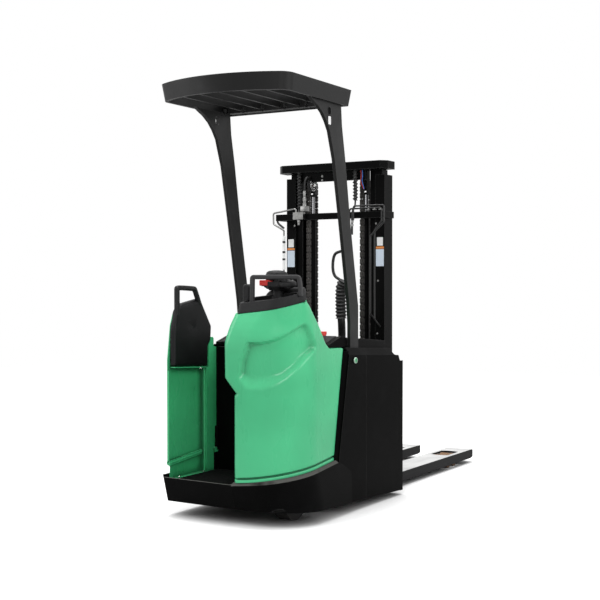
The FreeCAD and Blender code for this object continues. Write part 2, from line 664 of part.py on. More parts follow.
def build_emergency_stop():
    """Mushroom push button on a collar, standing in its hole in the dash."""
    stem = cylinder("stop_stem", "z", (dim.stop_x, dim.stop_y, 905), 12, 34)
    collar = cylinder("stop_collar", "z", (dim.stop_x, dim.stop_y, dim.ramp_high_z + 1), 17, 7)
    head = cylinder("stop_head", "z", (dim.stop_x, dim.stop_y, dim.ramp_high_z + 8), 20, 16)
    return node(fuse("stop", stem, collar, head), "emergency_stop")


# ---------------------------------------------------------------------------------------------
# Left panel with its pad
# ---------------------------------------------------------------------------------------------
def build_left_panel():
    """Sheet-metal side wall of the operator's bay: outer skin, column, rib, pad shelf and bottom lip."""
    out = 1 - dim.side_half + dim.panel_skin
    face = out + dim.panel_skin
    deep = out + dim.panel_depth
    low = dim.floor_z
    rear, front = dim.column_rear_y, dim.column_front_y
    skin = prism("panel_skin", "YZ", out, face,
                 [(-1167, low), (dim.bulkhead_y, low), (dim.bulkhead_y, 866), (-806, 900),
                  (-850, 950), (-856, 985), (-945, 1098), (-1118, 1066), (-1135, 1060), (-1161, 994),
                  (dim.panel_rear_y, 812), (dim.panel_rear_y, 279), (-1163, 250)])
    rear_return = box("panel_return", (face, out + 12), (dim.panel_rear_y, dim.panel_rear_y + 3),
                      (286, 756))
    column = prism("panel_column", "YZ", face, deep,
                   [(rear, low), (front, low), (front, 911), (front - 8, dim.column_top),
                    (-838, dim.column_top), (-842, 914), (-864, 874), (-868, 762), (rear, 756)])
    bay = box("panel_bay", (face, deep - 6), (front, dim.bulkhead_y), (low, 866))
    rib = prism("panel_rib", "YZ", face, out + 15,
                [(-1181, 260), (rear, 289), (rear, 311), (-1181, 286)])
    rib_front = prism("panel_rib_front", "YZ", deep - 6, deep + 9,
                      [(front, 289), (-790, 292), (-790, 318), (front, 313)])
    shelf = prism("panel_shelf", "YZ", face, dim.pad_face_x,
                  [(-1170, 771), (rear - 2, dim.shelf_low), (rear - 2, dim.shelf_low + 5), (-1170, 776)])
    lip = prism("panel_lip", "YZ", face, out + 52,
                [(-1140, low), (front, low), (front, low + 4), (-1140, low + 4)])
    panel = fuse("panel_fused", skin, rear_return, column, bay, rib, rib_front, shelf, lip)
    return node(panel, "left_panel")


PAD_FACE = ((-1156, 786), (-876, 770), (-871, 878), (-847, 920), (-842, 980), (-936, 1107), (-1138, 1073),
            (-1151, 1057), (-1160, 969))
PAD_BACK = ((-1162, 782), (-872, 766), (-867, 880), (-843, 922), (-839, 984), (-958, 1134), (-1112, 1098),
            (-1144, 1066), (-1166, 970))


def build_back_pad():
    """Backrest pad on the upper part of the left panel: straight sides, then a bevel to the face."""
    back, face = number("pad_back_x"), number("pad_face_x")
    levels = ((back, PAD_BACK), (face - number("pad_bevel"), PAD_BACK), (face, PAD_FACE))
    wires = [Part.makePolygon([Vector(x, y, z) for y, z in outline + outline[:1]]) for x, outline in levels]
    body = Part.makeLoft(wires, True, True)
    plinth = prism("pad_plinth", "YZ", 1 + 2 * dim.panel_skin - dim.side_half, dim.pad_back_x,
                   [(-1140, 800), (-884, 790), (-880, 884), (-868, 980), (-946, 1085), (-1112, 1050),
                    (-1140, 960)])
    return node(fuse("pad", shape("pad_body", body), plinth), "back_pad")


def build_pad_handle():
    """D-shaped grip that rises behind the top of the pad."""
    low, high = dim.handle_x, dim.handle_x + dim.handle_thick
    plate = prism("handle_plate", "YZ", low, high,
                  [(-1168, 1074), (-1168, 1182), (-1158, 1192), (-976, 1190), (-966, 1184), (-922, 1128),
                   (-930, 1120), (-957, 1137), (-1113, 1101), (-1146, 1070)])
    window = prism("handle_window", "YZ", low - 1, high + 1,
                   [(-1112, 1120), (-1112, 1174), (-1108, 1177), (-1014, 1172), (-998, 1146)])
    return node(cut("handle", plate, window), "pad_handle")


# ---------------------------------------------------------------------------------------------
# Moulded cover, console and controls
# ---------------------------------------------------------------------------------------------
def cover_section(row, inset=0.0):
    """Plan of the moulded cover at one height."""
    z, left, rear, front, right, round_right = row
    round_left = 40.0 if front - rear > 160 else 30.0
    tight = max(22 - inset, 4)
    return rounded_wire([(right - inset, front - inset, tight),
                         (right - inset, rear + inset, round_right - inset),
                         (left + inset, rear + inset, max(round_left - inset, 4)),
                         (left + inset, front - inset, tight)], z)


LOWER_STATIONS = (
    # height, left edge, rear edge, front edge, right edge, radius at the rear right
    (224, 41, -1232, -788, 380, 270),
    (652, 41, -1232, -714, 380, 270),
    (661, 51, -1232, -712, 380, 270),
    (737, -15, -1236, -699, 380, 270),
    (872, -16, -1235, -675, 380, 268),
)
UPPER_STATIONS = (
    (876, -16, -1235, -830, 380, 268),
    (905, -18, -1232, -862, 380, 262),
    (962, -5, -1226, -904, 379, 245),
    (1008, 8, -1216, -938, 377, 225),
    (1060, 26, -1202, -980, 374, 185),
    (1100, 35, -1193, -1014, 372, 145),
    (1136, 42, -1186, -1056, 370, 96),
)
COLLAR_STATIONS = (
    (1030, 22, -1206, -985, 374, 185),
    (1230, 52, -1166, -1045, 366, 85),
)
RECESS_FLOOR = ((135, 919), (190, 905), (304, 942), (358, 1000), (374, 900), (350, 856), (323, 822),
                (300, 785),
                (264, 758), (205, 754), (118, 757), (122, 850))
RECESS_RAMP = ((122, 850), (374, 900), (374, 870), (323, 803), (304, 742), (245, 699), (175, 686),
               (112, 694))


def between(t, a, b, c, d):
    """Value a share t of the way from b to c, on a smooth curve that also knows a and d."""
    slope, bend = (c - a) / 2, (d - a) / 2 + 1.5 * (b - c)
    return b + t * (slope + t * (c - b - slope - bend + t * bend))


def eased(stations, steps=3):
    """More sections between the given ones, on a smooth curve through them (Catmull-Rom)."""
    rows = []
    for index in range(len(stations) - 1):
        before = stations[max(index - 1, 0)]
        here, ahead = stations[index], stations[index + 1]
        after = stations[min(index + 2, len(stations) - 1)]
        for step in range(steps):
            rows.append(tuple(between(step / steps, *four) for four in zip(before, here, ahead, after)))
    rows.append(stations[-1])
    return rows


def cover_solid(inset):
    """The cover's whole volume, drawn in by an inset: straight lower body, flat shelf, curved head."""
    wires = []
    for row in LOWER_STATIONS + tuple(eased(UPPER_STATIONS, 2)):
        wire = cover_section(row, inset)
        if row[0] in (LOWER_STATIONS[-1][0], UPPER_STATIONS[0][0]):
            wire.translate(Vector(0, 0, -inset))
        wires.append(wire)
    return Part.makeLoft(wires, True, True)


def build_cover():
    """Hollow moulded cover: notched waist, shelf in front, recessed face, tilted rim and hem."""
    shell = cover_solid(0).cut(cover_solid(number("cover_wall")))
    for corners, depth in ((RECESS_FLOOR, number("recess_deep")), (RECESS_RAMP, number("recess_deep") / 2)):
        shell = shell.cut(flat_prism(corners, (-1300, -1000)).cut(cover_solid(depth)))
    shell = shell.cut(above(head_plane, 0, (-100, 500), (-1400, -900)))
    lift = number("rim_lift") + number("seam_gap")
    shell = shell.cut(above(rim_plane, lift, (-100, 500), (-1400, -600), -400))
    return node(shape("cover", shell), "moulded_cover")


def build_console():
    """Dark console that closes the top of the moulded cover: a collar with a lip round a shallow bowl."""
    inset, lip = number("collar_inset"), number("collar_lip")
    high, floor = number("collar_high"), number("bowl_floor")
    outer = Part.makeLoft([cover_section(row, inset) for row in COLLAR_STATIONS], True, True)
    bowl = Part.makeLoft([cover_section(row, inset + lip) for row in COLLAR_STATIONS], True, True)
    span = ((-100, 500), (-1400, -900))
    collar = outer.cut(above(head_plane, 1, *span, -400)).cut(above(head_plane, high, *span))
    bowl = bowl.cut(above(head_plane, floor, *span, -400))
    centre = Vector(number("tiller_x"), number("tiller_y"), number("tiller_low") - 30)
    boss = Part.makeCylinder(number("boss_radius"), number("boss_top") - centre.z, centre)
    well = Part.makeCylinder(number("column_radius") + 0.05, 100, centre + Vector(0, 0, 25))
    solid = collar.cut(bowl).fuse(boss.cut(above(head_plane, 1, *span, -400))).cut(well)
    return node(shape("console_shape", solid), "console")


def build_grab_bar(console):
    """Hoop that guards the operator's hand, trimmed where its legs meet the console."""
    top = number("grab_z")
    bar = pipe([Vector(104, -1152, 1112), Vector(112, -1150, top), Vector(352, -1090, top),
                Vector(356, -1092, 1150)], number("grab_tube"), 36)
    return node(cut("grab", shape("grab_tube", bar), console), "grab_bar")


def turned(solid):
    """Turn a piece of the steering head from its own axes to its resting angle."""
    centre = Vector(number("tiller_x"), number("tiller_y"), 0)
    solid.translate(centre)
    solid.rotate(centre, Vector(0, 0, 1), number("tiller_turn"))
    return solid


def build_tiller():
    """Steering head: column, round hub, domed crown, two hand lobes and a thumb block."""
    low = number("tiller_low")
    column = Part.makeCylinder(number("column_radius"), 1190 - low, Vector(0, 0, low))
    hub = Part.makeCone(46, 60, 20, Vector(0, 0, 1176)).fuse(Part.makeCylinder(60, 24, Vector(0, 0, 1196)))
    crown = Part.makeBox(88, 72, 50, Vector(-44, -36, 1220))
    upright = [edge for edge in crown.Edges if abs(edge.tangentAt(0).z) > 0.9]
    crown = crown.makeFillet(20, upright)
    crown = crown.makeFillet(12, [edge for edge in crown.Edges if edge.CenterOfMass.z > 1269])
    lobes = []
    for side in (-1, 1):
        start = Vector(48 * side, 0, 1203)
        lobe = Part.makeCylinder(21, 62, start, Vector(side, 0, 0))
        lobes.append(lobe.makeFillet(9, [edge for edge in lobe.Edges if abs(edge.CenterOfMass.x) > 105]))
    thumb = Part.makeBox(64, 34, 26, Vector(-96, -48, 1197))
    thumb = thumb.makeFillet(8, [edge for edge in thumb.Edges if edge.CenterOfMass.y < -40])
    head = column.fuse([hub, crown, thumb] + lobes)
    return node(shape("tiller", turned(head)), "tiller_head")


def build_control_lever(console):
    """Lift and lower handle at the left end of the console."""
    grip = prism("lever_grip", "XZ", -1112, -1070,
                 [(30, 1100), (58, 1100), (66, 1128), (68, 1196), (58, 1208), (34, 1208), (26, 1196),
                  (26, 1116)])
    rounded("lever_round", grip, 9, lambda centre, direction: centre.y < -1111 or centre.y > -1071)
    return node(cut("lever", grip, console), "control_lever")


# ---------------------------------------------------------------------------------------------
# Overhead guard
# ---------------------------------------------------------------------------------------------
def build_guard_posts():
    """Cranked plate posts: upright beside the battery, then leaning back to a curved gusset."""
    roof_low = dim.guard_top - dim.fascia_high
    plate = prism("post_plate", "YZ", dim.post_inner, dim.post_inner + dim.post_plate,
                  [(-575, 112), (-481, 112), (-481, 1090), (-576, 1555), (-630, 1870), (-666, 2040),
                   (-676, roof_low + 4), (-1000, roof_low + 4), (-970, roof_low - 10),
                   (-918, roof_low - 32),
                   (-870, roof_low - 62), (-830, roof_low - 100), (-796, roof_low - 146),
                   (-776, roof_low - 200), (-744, roof_low - 286), (-675, 1550), (-585, 1120),
                   (-570, 1000)])
    slot = box("post_slot", (dim.post_inner - 1, dim.post_inner + dim.post_plate + 1), (-818, -786),
               (2082, 2120))
    return node(pair("posts", cut("post_right", plate, slot)), "guard_posts")


def guard_wire(z, grow):
    """Plan of the roof rim: straight sides and a bowed rear edge."""
    half = number("guard_half") + grow
    rear, front = number("rear_y") - grow, number("guard_front_y") + grow
    corner = rear + number("guard_sag")
    left, right = Vector(-half, corner, z), Vector(half, corner, z)
    edges = [Part.LineSegment(Vector(half, front, z), Vector(-half, front, z)).toShape(),
             Part.LineSegment(Vector(-half, front, z), left).toShape(),
             Part.Arc(left, Vector(0, rear, z), right).toShape(),
             Part.LineSegment(right, Vector(half, front, z)).toShape()]
    return Part.Wire(edges)


def guard_solid(low, low_grow, high, high_grow):
    """A roof-shaped slab between two heights, round at its rear corners."""
    solid = Part.makeLoft([guard_wire(low, low_grow), guard_wire(high, high_grow)], True)
    corners = [edge for edge in solid.Edges
               if abs(edge.tangentAt(edge.FirstParameter).z) > 0.7 and edge.CenterOfMass.y < -1000]
    return solid.makeFillet(number("guard_corner") + min(low_grow, high_grow), corners)


def opening_rear(x):
    """Where the rear edge of the roof opening lies at one x."""
    half = number("guard_half") - number("frame_ring")
    sag = number("guard_sag")
    radius = (half * half + sag * sag) / (2 * sag)
    return number("rear_y") + number("frame_ring") + radius - math.sqrt(radius * radius - x * x)


def build_guard_roof():
    """Fascia frame of the roof: a tapered skirt round an open top."""
    top = number("guard_top")
    low = top - number("fascia_high")
    ring = number("frame_ring")
    outer = guard_solid(low, -12, top, 0)
    inner = guard_solid(low - 1, -26, top - 14, -14)
    opening = guard_solid(top - 20, -ring, top + 1, -ring)
    return node(shape("roof_outer", outer.cut(inner).cut(opening)), "guard_roof")


def build_guard_bars():
    """Five upright plates along the roof opening and the cross member they end on."""
    top = dim.guard_top - 16
    bars = []
    for index in range(5):
        x = number("bar_pitch") * (index - 2)
        bars.append(box(f"roof_bar_{index}", (x - 5, x + 5), (opening_rear(abs(x) + 5) + 1, -640),
                        (top - 58, top)))
    cross = box("roof_cross", (-338, 338), (-702, -642), (top - 66, top))
    return node(fuse("roof_bars", cross, *bars), "guard_bars")


# ---------------------------------------------------------------------------------------------
# Mast
# ---------------------------------------------------------------------------------------------
def channel(name, web_x, open_x, web, rear, front, flange, low, high):
    """A rail of C section: web outside, two flanges pointing inwards."""
    return prism(name, "XY", low, high,
                 [(open_x, rear), (web_x, rear), (web_x, front), (open_x, front), (open_x, front - flange),
                  (web_x - web, front - flange), (web_x - web, rear + flange), (open_x, rear + flange)])


def build_outer_rails():
    rail = channel("outer_rail", dim.rail_outer_x, dim.rail_outer_x - dim.rail_flange, dim.rail_web,
                   dim.rail_rear_y, dim.rail_front_y, 10, dim.mast_low, dim.outer_rail_top)
    return node(pair("outer_pair", rail), "outer_rails")


def build_inner_rails():
    rail = channel("inner_rail", dim.inner_rail_x + 14, dim.inner_rail_in, 12, dim.rail_rear_y + 16,
                   dim.rail_front_y - 16, 9, dim.inner_low, dim.inner_rail_top)
    return node(pair("inner_pair", rail), "inner_rails")


def build_mast_crossbar():
    """Upper tie of the outer mast, wrapped round both rails."""
    low, high = dim.crossbar_top - dim.crossbar_high, dim.crossbar_top
    bar = box("crossbar_plate", (-362, 362), (-158, -146), (low, high))
    cheeks = [box(f"crossbar_cheek_{index}", (x, x + 12), (-150, -46), (low, high))
              for index, x in enumerate((-362, 350))]
    blocks = [box(f"crossbar_block_{index}", (x, x + 34), (-150, dim.rail_rear_y), (low, high))
              for index, x in enumerate((-326, 292))]
    lugs = [box(f"crossbar_lug_{index}", (x, x + 28), (-70, -50), (low, high))
            for index, x in enumerate((-354, 326))]
    return node(fuse("crossbar", bar, *cheeks, *blocks, *lugs), "mast_crossbar")


def build_mast_hydraulics():
    """Valve block and steel pipes behind the upper tie; each pipe runs down to the foot of its rail."""
    rear, top = number("crossbar_rear_y"), number("crossbar_top")
    radius, y = number("pipe_radius"), number("crossbar_rear_y") - 10
    block = Part.makeBox(68, 28, 42, Vector(-228, rear - 28, top - 34))
    rail = number("rail_rear_y")
    runs = ([Vector(-214, y - 4, top + 6), Vector(-214, y - 4, top + 30), Vector(-374, y, top + 8),
             Vector(-372, y, top - 56), Vector(-300, y, top - 96), Vector(-300, y, 1010),
             Vector(-300, rail - 3, 965)],
            [Vector(140, y, top - 50), Vector(140, y, top + 18), Vector(344, y, top + 18),
             Vector(344, y, top - 56), Vector(300, y, top - 110), Vector(300, y, 1010),
             Vector(300, rail - 3, 965)],
            [Vector(172, y - 14, top - 50), Vector(172, y - 14, top + 32), Vector(366, y - 14, top + 32),
             Vector(366, y - 14, top - 64), Vector(278, y - 8, top - 140), Vector(278, y - 8, 1040),
             Vector(278, rail - 3, 990)])
    pipes = [pipe(points, radius, number("pipe_bend")) for points in runs]
    return node(shape("hydraulics", Part.makeCompound([block.fuse(pipes[0])] + pipes[1:])),
                "mast_hydraulics")


def build_inner_head():
    """Top beam, cross plate and sheave yokes of the inner mast."""
    low = dim.inner_rail_top
    beam = prism("head_beam", "XY", low, dim.beam_top,
                 [(-dim.beam_half + 34, -150), (dim.beam_half - 34, -150), (dim.beam_half, -116),
                  (dim.beam_half, -28), (-dim.beam_half, -28), (-dim.beam_half, -116)])
    plate = box("head_plate", (-218, 218), (-122, -110), (low - 58, low + 5))
    cheek_low = dim.sheave_z - dim.sheave_radius - 22
    yokes = []
    for index, x in enumerate((-dim.chain_x, dim.chain_x)):
        for side in (-1, 1):
            centre = x + side * 19.5
            yokes.append(box(f"yoke_{index}_{side + 1}", (centre - 2.5, centre + 2.5),
                             (dim.sheave_y - 24, dim.sheave_y + 14), (cheek_low, low + 5)))
        yokes.append(box(f"yoke_seat_{index}", (x - 22, x + 22), (dim.sheave_y - 24, dim.sheave_y + 14),
                         (cheek_low, cheek_low + 12)))
        yokes.append(cylinder(f"sheave_pin_{index}", "x", (x - 22, dim.sheave_y, dim.sheave_z), 10, 44))
    return node(fuse("inner_head_part", beam, plate, *yokes), "inner_head")


def build_inner_foot():
    """Low tie behind the inner rails, reaching them through two lugs."""
    low, high = dim.inner_low + 36, dim.inner_low + 106
    tie = box("foot_tie", (-258, 258), (-110, -98), (low, high))
    lugs = [box(f"foot_lug_{index}", (x, x + 28), (-98, dim.rail_rear_y + 16), (low, high))
            for index, x in enumerate((-258, 230))]
    return node(fuse("foot", tie, *lugs), "inner_foot_tie")


def build_sheaves():
    wheels = []
    for index, x in enumerate((-dim.chain_x, dim.chain_x)):
        rim = cylinder(f"sheave_{index}", "x", (x - 13, dim.sheave_y, dim.sheave_z), dim.sheave_radius, 26)
        hole = cylinder(f"sheave_hole_{index}", "x", (x - 14, dim.sheave_y, dim.sheave_z), 10.3, 28)
        wheels.append(cut(f"sheave_part_{index}", rim, hole))
    return node(group("sheaves", *wheels), "chain_sheaves")


def build_lift_cylinders():
    barrel = cylinder("barrel", "z", (dim.chain_x, dim.sheave_y, 110), dim.barrel_radius,
                      dim.barrel_top - 110)
    bore = cylinder("barrel_bore", "z", (dim.chain_x, dim.sheave_y, 130), dim.rod_radius + 0.3,
                    dim.barrel_top)
    anchor = box("chain_anchor", (dim.chain_x - 16, dim.chain_x + 16),
                 (dim.sheave_y - 50, dim.sheave_y - 10),
                 (dim.anchor_z - 22, dim.anchor_z))
    node(pair("barrels", cut("barrel_right", fuse("barrel_solid", barrel, anchor), bore)), "lift_barrels")
    rod = cylinder("rod", "z", (dim.chain_x, dim.sheave_y, 200), dim.rod_radius,
                   dim.sheave_z - dim.sheave_radius - 222)
    node(pair("rods", rod), "lift_rods")


def build_chains():
    """Leaf chains: rear strands to the anchors, wraps over the sheaves, front strands to the carriage."""
    half = dim.chain_width / 2
    pitch = dim.sheave_radius + 6
    rear = box("chain_rear", (dim.chain_x - half, dim.chain_x + half),
               (dim.sheave_y - pitch - 5, dim.sheave_y - pitch + 5), (dim.anchor_z, dim.sheave_z))
    node(pair("chain_rear_pair", rear), "chains_rear")
    front = box("chain_front", (dim.chain_x - half, dim.chain_x + half),
                (dim.sheave_y + pitch - 5, dim.sheave_y + pitch + 5), (dim.hitch_z, dim.sheave_z))
    node(pair("chain_front_pair", front), "chains_front")
    band = tube("chain_band", "x", (dim.chain_x - half, dim.sheave_y, dim.sheave_z), pitch + 5, pitch - 5,
                dim.chain_width)
    below = box("chain_band_low", (dim.chain_x - 40, dim.chain_x + 40),
                (dim.sheave_y - 60, dim.sheave_y + 60),
                (dim.sheave_z - 60, dim.sheave_z))
    node(pair("chain_wrap_pair", cut("chain_wrap", band, below)), "chain_wraps")


# ---------------------------------------------------------------------------------------------
# Fork carriage and running gear
# ---------------------------------------------------------------------------------------------
def build_carriage():
    """Roller plates inside the inner rails, joined to the heel plate of the forks."""
    cheek = prism("carriage_cheek", "YZ", 206, 220,
                  [(-64, 150), (heel_y - 30, 96), (heel_y - 30, 300), (40, 440), (-64, 440)])
    rollers = [cylinder(f"carriage_roller_{index}", "x", (220, dim.sheave_y, z), 24, 56)
               for index, z in enumerate((186, 402))]
    right = fuse("carriage_side", cheek, *rollers)
    left = mirrored("carriage_side_left", right)
    plate = box("heel_plate", (-285, 285), (heel_y - 30, heel_y), (92, 300))
    hitch = box("carriage_hitch", (-208, 208), (-12, 12), (dim.hitch_z - 36, dim.hitch_z))
    return node(fuse("carriage", right, left, plate, hitch), "fork_carriage")


def build_drive():
    """Vertical drive motor and its fork, turning about a kingpin, and the drive wheel."""
    x, y, radius = dim.drive_x, dim.drive_y, dim.drive_radius
    motor = cylinder("drive_motor", "z", (x, y, 330), 88, 190)
    neck = cylinder("drive_neck", "z", (x, y, 262), 105, 70)
    gear = box("drive_gear", (x + dim.drive_width / 2 + 10, x + dim.drive_width / 2 + 46), (y - 60, y + 60),
               (radius - 48, 264))
    top = box("drive_top", (x - 60, x + dim.drive_width / 2 + 46), (y - 60, y + 60), (radius * 2 + 12, 264))
    axle = cylinder("drive_axle", "x", (x - 30, y, radius), 20, dim.drive_width / 2 + 60)
    node(fuse("drive", motor, neck, gear, top, axle), "drive_unit")
    tyre = cylinder("drive_tyre", "x", (x - dim.drive_width / 2, y, radius), radius, dim.drive_width)
    hole = cylinder("drive_hole_bore", "x", (x - dim.drive_width / 2 - 1, y, radius), 20.05,
                    dim.drive_width + 2)
    node(cut("drive_wheel_part", tyre, hole), "drive_wheel")


def build_drive_mount():
    """Turret ring that carries the drive unit above the wheel well."""
    wall = tube("mount_wall", "z", (dim.drive_x, dim.drive_y, dim.mount_low), dim.turret_ring,
                dim.turret_bore,
                dim.mount_high)
    deck = tube("mount_deck", "z", (dim.drive_x, dim.drive_y, dim.mount_low + dim.mount_high),
                dim.turret_ring,
                dim.neck_radius + 0.3, 12)
    node(fuse("mount", wall, deck), "drive_mount")


def build_caster():
    """Swivelling stabiliser wheel under the platform."""
    x, y, radius = dim.caster_x, dim.caster_y, dim.caster_radius
    wheel_y = y - dim.caster_trail
    head = cylinder("caster_head", "z", (x, y, radius * 2 + 8), 46,
                    dim.floor_z - dim.tub_wall - radius * 2 - 8.3)
    plate = box("caster_plate", (x - 40, x + 40), (wheel_y - 30, y + 30), (radius * 2 + 8, radius * 2 + 16))
    cheeks = [box(f"caster_cheek_{index}", (cx, cx + 7), (wheel_y - 24, wheel_y + 34),
                  (radius - 22, radius * 2 + 10))
              for index, cx in enumerate((x - 39, x + 32))]
    axle = cylinder("caster_axle", "x", (x - 39, wheel_y, radius), 8, 78)
    node(fuse("caster", head, plate, *cheeks, axle), "caster_fork")
    tyre = cylinder("caster_tyre", "x", (x - dim.caster_width / 2, wheel_y, radius), radius,
                    dim.caster_width)
    hole = cylinder("caster_bore", "x", (x - dim.caster_width / 2 - 1, wheel_y, radius), 8.05,
                    dim.caster_width + 2)
    node(cut("caster_wheel_part", tyre, hole), "caster_wheel")


for build in (build_base, build_platform_mat, build_chassis_frame, build_bulkhead, build_side_covers,
              build_side_panels, build_lock_plug, build_battery, build_hood, build_ramp,
              build_emergency_stop,
              build_left_panel, build_back_pad, build_pad_handle, build_cover, build_tiller,
              build_guard_posts, build_guard_roof, build_guard_bars, build_outer_rails,
              build_mast_crossbar, build_mast_hydraulics, build_inner_rails, build_inner_head,
              build_inner_foot, build_sheaves,
              build_chains, build_lift_cylinders, build_carriage, build_forks, build_legs,
              build_load_rollers,
              build_drive, build_drive_mount, build_caster):
    build()
console = build_console()
build_grab_bar(console)
build_control_lever(console)

doc.recompute()

# ---------------------------------------------------------------------------------------------
# Checks and export
# ---------------------------------------------------------------------------------------------
for made in doc.Objects:
    if "Invalid" in made.State or "Error" in made.State:
        raise RuntimeError(f"{made.Name} failed: {made.State}")

os.makedirs("parts", exist_ok=True)
for part in NODES:
    solid = part.Shape
    if solid.isNull() or not solid.isValid() or not solid.Solids:
        raise RuntimeError(f"{part.Label}: bad shape")
    solid.exportStep(f"parts/{part.Label}.step")
    bounds = solid.optimalBoundingBox(False, False)
    print(f"{part.Label:22s} solids {len(solid.Solids)}  volume {solid.Volume / 1e6:8.2f} l  "
          f"x {bounds.XMin:7.0f} {bounds.XMax:7.0f}  y {bounds.YMin:7.0f} {bounds.YMax:7.0f}  "
          f"z {bounds.ZMin:7.0f} {bounds.ZMax:7.0f}")
print(len(NODES), "sub-parts written")
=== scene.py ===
# %% [markdown]
# # Dressing a stand-on pallet stacker
#
# The machine was designed first as a CAD model: frame, mast, forks, covers, wheels and joints.
# This lesson adds what a designer adds next: real surface finishes and the small parts that
# catch the eye. Both models share one frame, so a place in the CAD drawing is the same place here
# and nothing has to be fitted by hand. A piece that lies on a CAD part reads that part's box.

# %% Load the frame and keep its size
import math

import bmesh
import bpy
from mathutils import Matrix, Vector


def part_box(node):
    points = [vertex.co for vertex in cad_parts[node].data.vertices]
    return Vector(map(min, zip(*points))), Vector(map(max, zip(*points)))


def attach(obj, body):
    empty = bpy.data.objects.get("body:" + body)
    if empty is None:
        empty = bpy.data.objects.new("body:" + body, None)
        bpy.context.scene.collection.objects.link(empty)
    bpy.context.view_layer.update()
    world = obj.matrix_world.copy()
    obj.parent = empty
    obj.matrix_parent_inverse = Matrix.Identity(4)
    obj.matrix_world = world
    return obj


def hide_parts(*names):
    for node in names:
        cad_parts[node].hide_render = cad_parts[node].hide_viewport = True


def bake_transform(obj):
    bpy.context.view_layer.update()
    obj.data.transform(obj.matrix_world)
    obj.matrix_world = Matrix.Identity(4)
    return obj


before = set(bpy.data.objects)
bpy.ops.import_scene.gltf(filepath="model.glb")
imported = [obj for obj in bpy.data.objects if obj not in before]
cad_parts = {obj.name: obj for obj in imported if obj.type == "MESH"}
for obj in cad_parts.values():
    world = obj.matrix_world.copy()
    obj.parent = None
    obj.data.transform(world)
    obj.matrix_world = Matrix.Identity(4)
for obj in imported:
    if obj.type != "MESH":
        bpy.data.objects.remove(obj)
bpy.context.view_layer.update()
scene = bpy.context.scene

# %% [markdown]
# ## The camera
# The machine is seen from behind and to its right, at chest height, with a longish lens that
# keeps the uprights almost parallel. A camera looks along its own -Z axis, so it is easiest to
# work out one forward direction and let Blender turn that into a rotation.

# %% Camera
VIEW_SIDE, VIEW_DROP = math.radians(30.5), math.radians(0.72)
CAMERA_SPOT = (3.248, -6.004, 1.2007)
SENSOR_WIDTH, FOCAL_LENGTH = 36, 69.12

forward = Vector((-math.sin(VIEW_SIDE) * math.cos(VIEW_DROP),
                  math.cos(VIEW_SIDE) * math.cos(VIEW_DROP),
                  -math.sin(VIEW_DROP)))
lens = bpy.data.cameras.new("studio_camera")
lens.sensor_width, lens.lens = SENSOR_WIDTH, FOCAL_LENGTH
camera = bpy.data.objects.new("studio_camera", lens)
scene.collection.objects.link(camera)
camera.location = CAMERA_SPOT
camera.rotation_euler = forward.to_track_quat("-Z", "Y").to_euler()
scene.camera = camera
print("camera at", [round(value, 2) for value in camera.location])

# %% [markdown]
# ## Writing finishes as sums
# A finish in Blender is a graph of nodes. Wiring it by hand hides the idea, so small classes let
# the lesson write it as arithmetic. `Level` wraps a socket and knows +, - and *; each sum adds one
# Math node. `Graph` makes every other node with one method, and `Finish` is the graph of a
# material with the few mixtures that all finishes here are made from.

# %% Level: a socket that can be added and multiplied
class Level:
    """One output of a shader graph, used like a number."""

    def __init__(self, graph, socket):
        self.graph = graph
        self.socket = socket

    def maths(self, operation, *values):
        return self.graph.node("ShaderNodeMath", {"operation": operation}, dict(enumerate(values)))

    def __add__(self, other):
        return self.maths("ADD", self, other)

    def __sub__(self, other):
        return self.maths("SUBTRACT", self, other)

    def __rsub__(self, other):
        return self.maths("SUBTRACT", other, self)

    def __mul__(self, other):
        return self.maths("MULTIPLY", self, other)

    __radd__ = __add__
    __rmul__ = __mul__

    def most(self, other):
        return self.maths("MAXIMUM", self, other)

    def least(self, other):
        return self.maths("MINIMUM", self, other)

    def step(self, low, high):
        """0 below low, 1 above high and smooth between; low may be the larger."""
        return self.graph.node("ShaderNodeMapRange", {"interpolation_type": "SMOOTHSTEP"},
                               {"Value": self, "From Min": low, "From Max": high})


print("a Level can be added, subtracted and multiplied")


# %% Graph: one method for every other node
class Graph:
    """A node tree that is filled by one method."""

    def __init__(self, tree):
        self.tree = tree
        tree.nodes.clear()

    def feed(self, socket, value):
        if isinstance(value, Level):
            self.tree.links.new(value.socket, socket)
        elif socket.type == "RGBA":
            socket.default_value = (*value[:3], 1)
        else:
            socket.default_value = value

    def node(self, kind, settings=None, feeds=None, output=0):
        """Make a node, set its settings, then feed its sockets; give back one of its outputs."""
        made = self.tree.nodes.new(kind)
        for key, value in (settings or {}).items():
            setattr(made, key, value)
        for key, value in (feeds or {}).items():
            self.feed(made.inputs[key], value)
        return Level(self, made.outputs[output]) if made.outputs else None


print("one method makes every node")


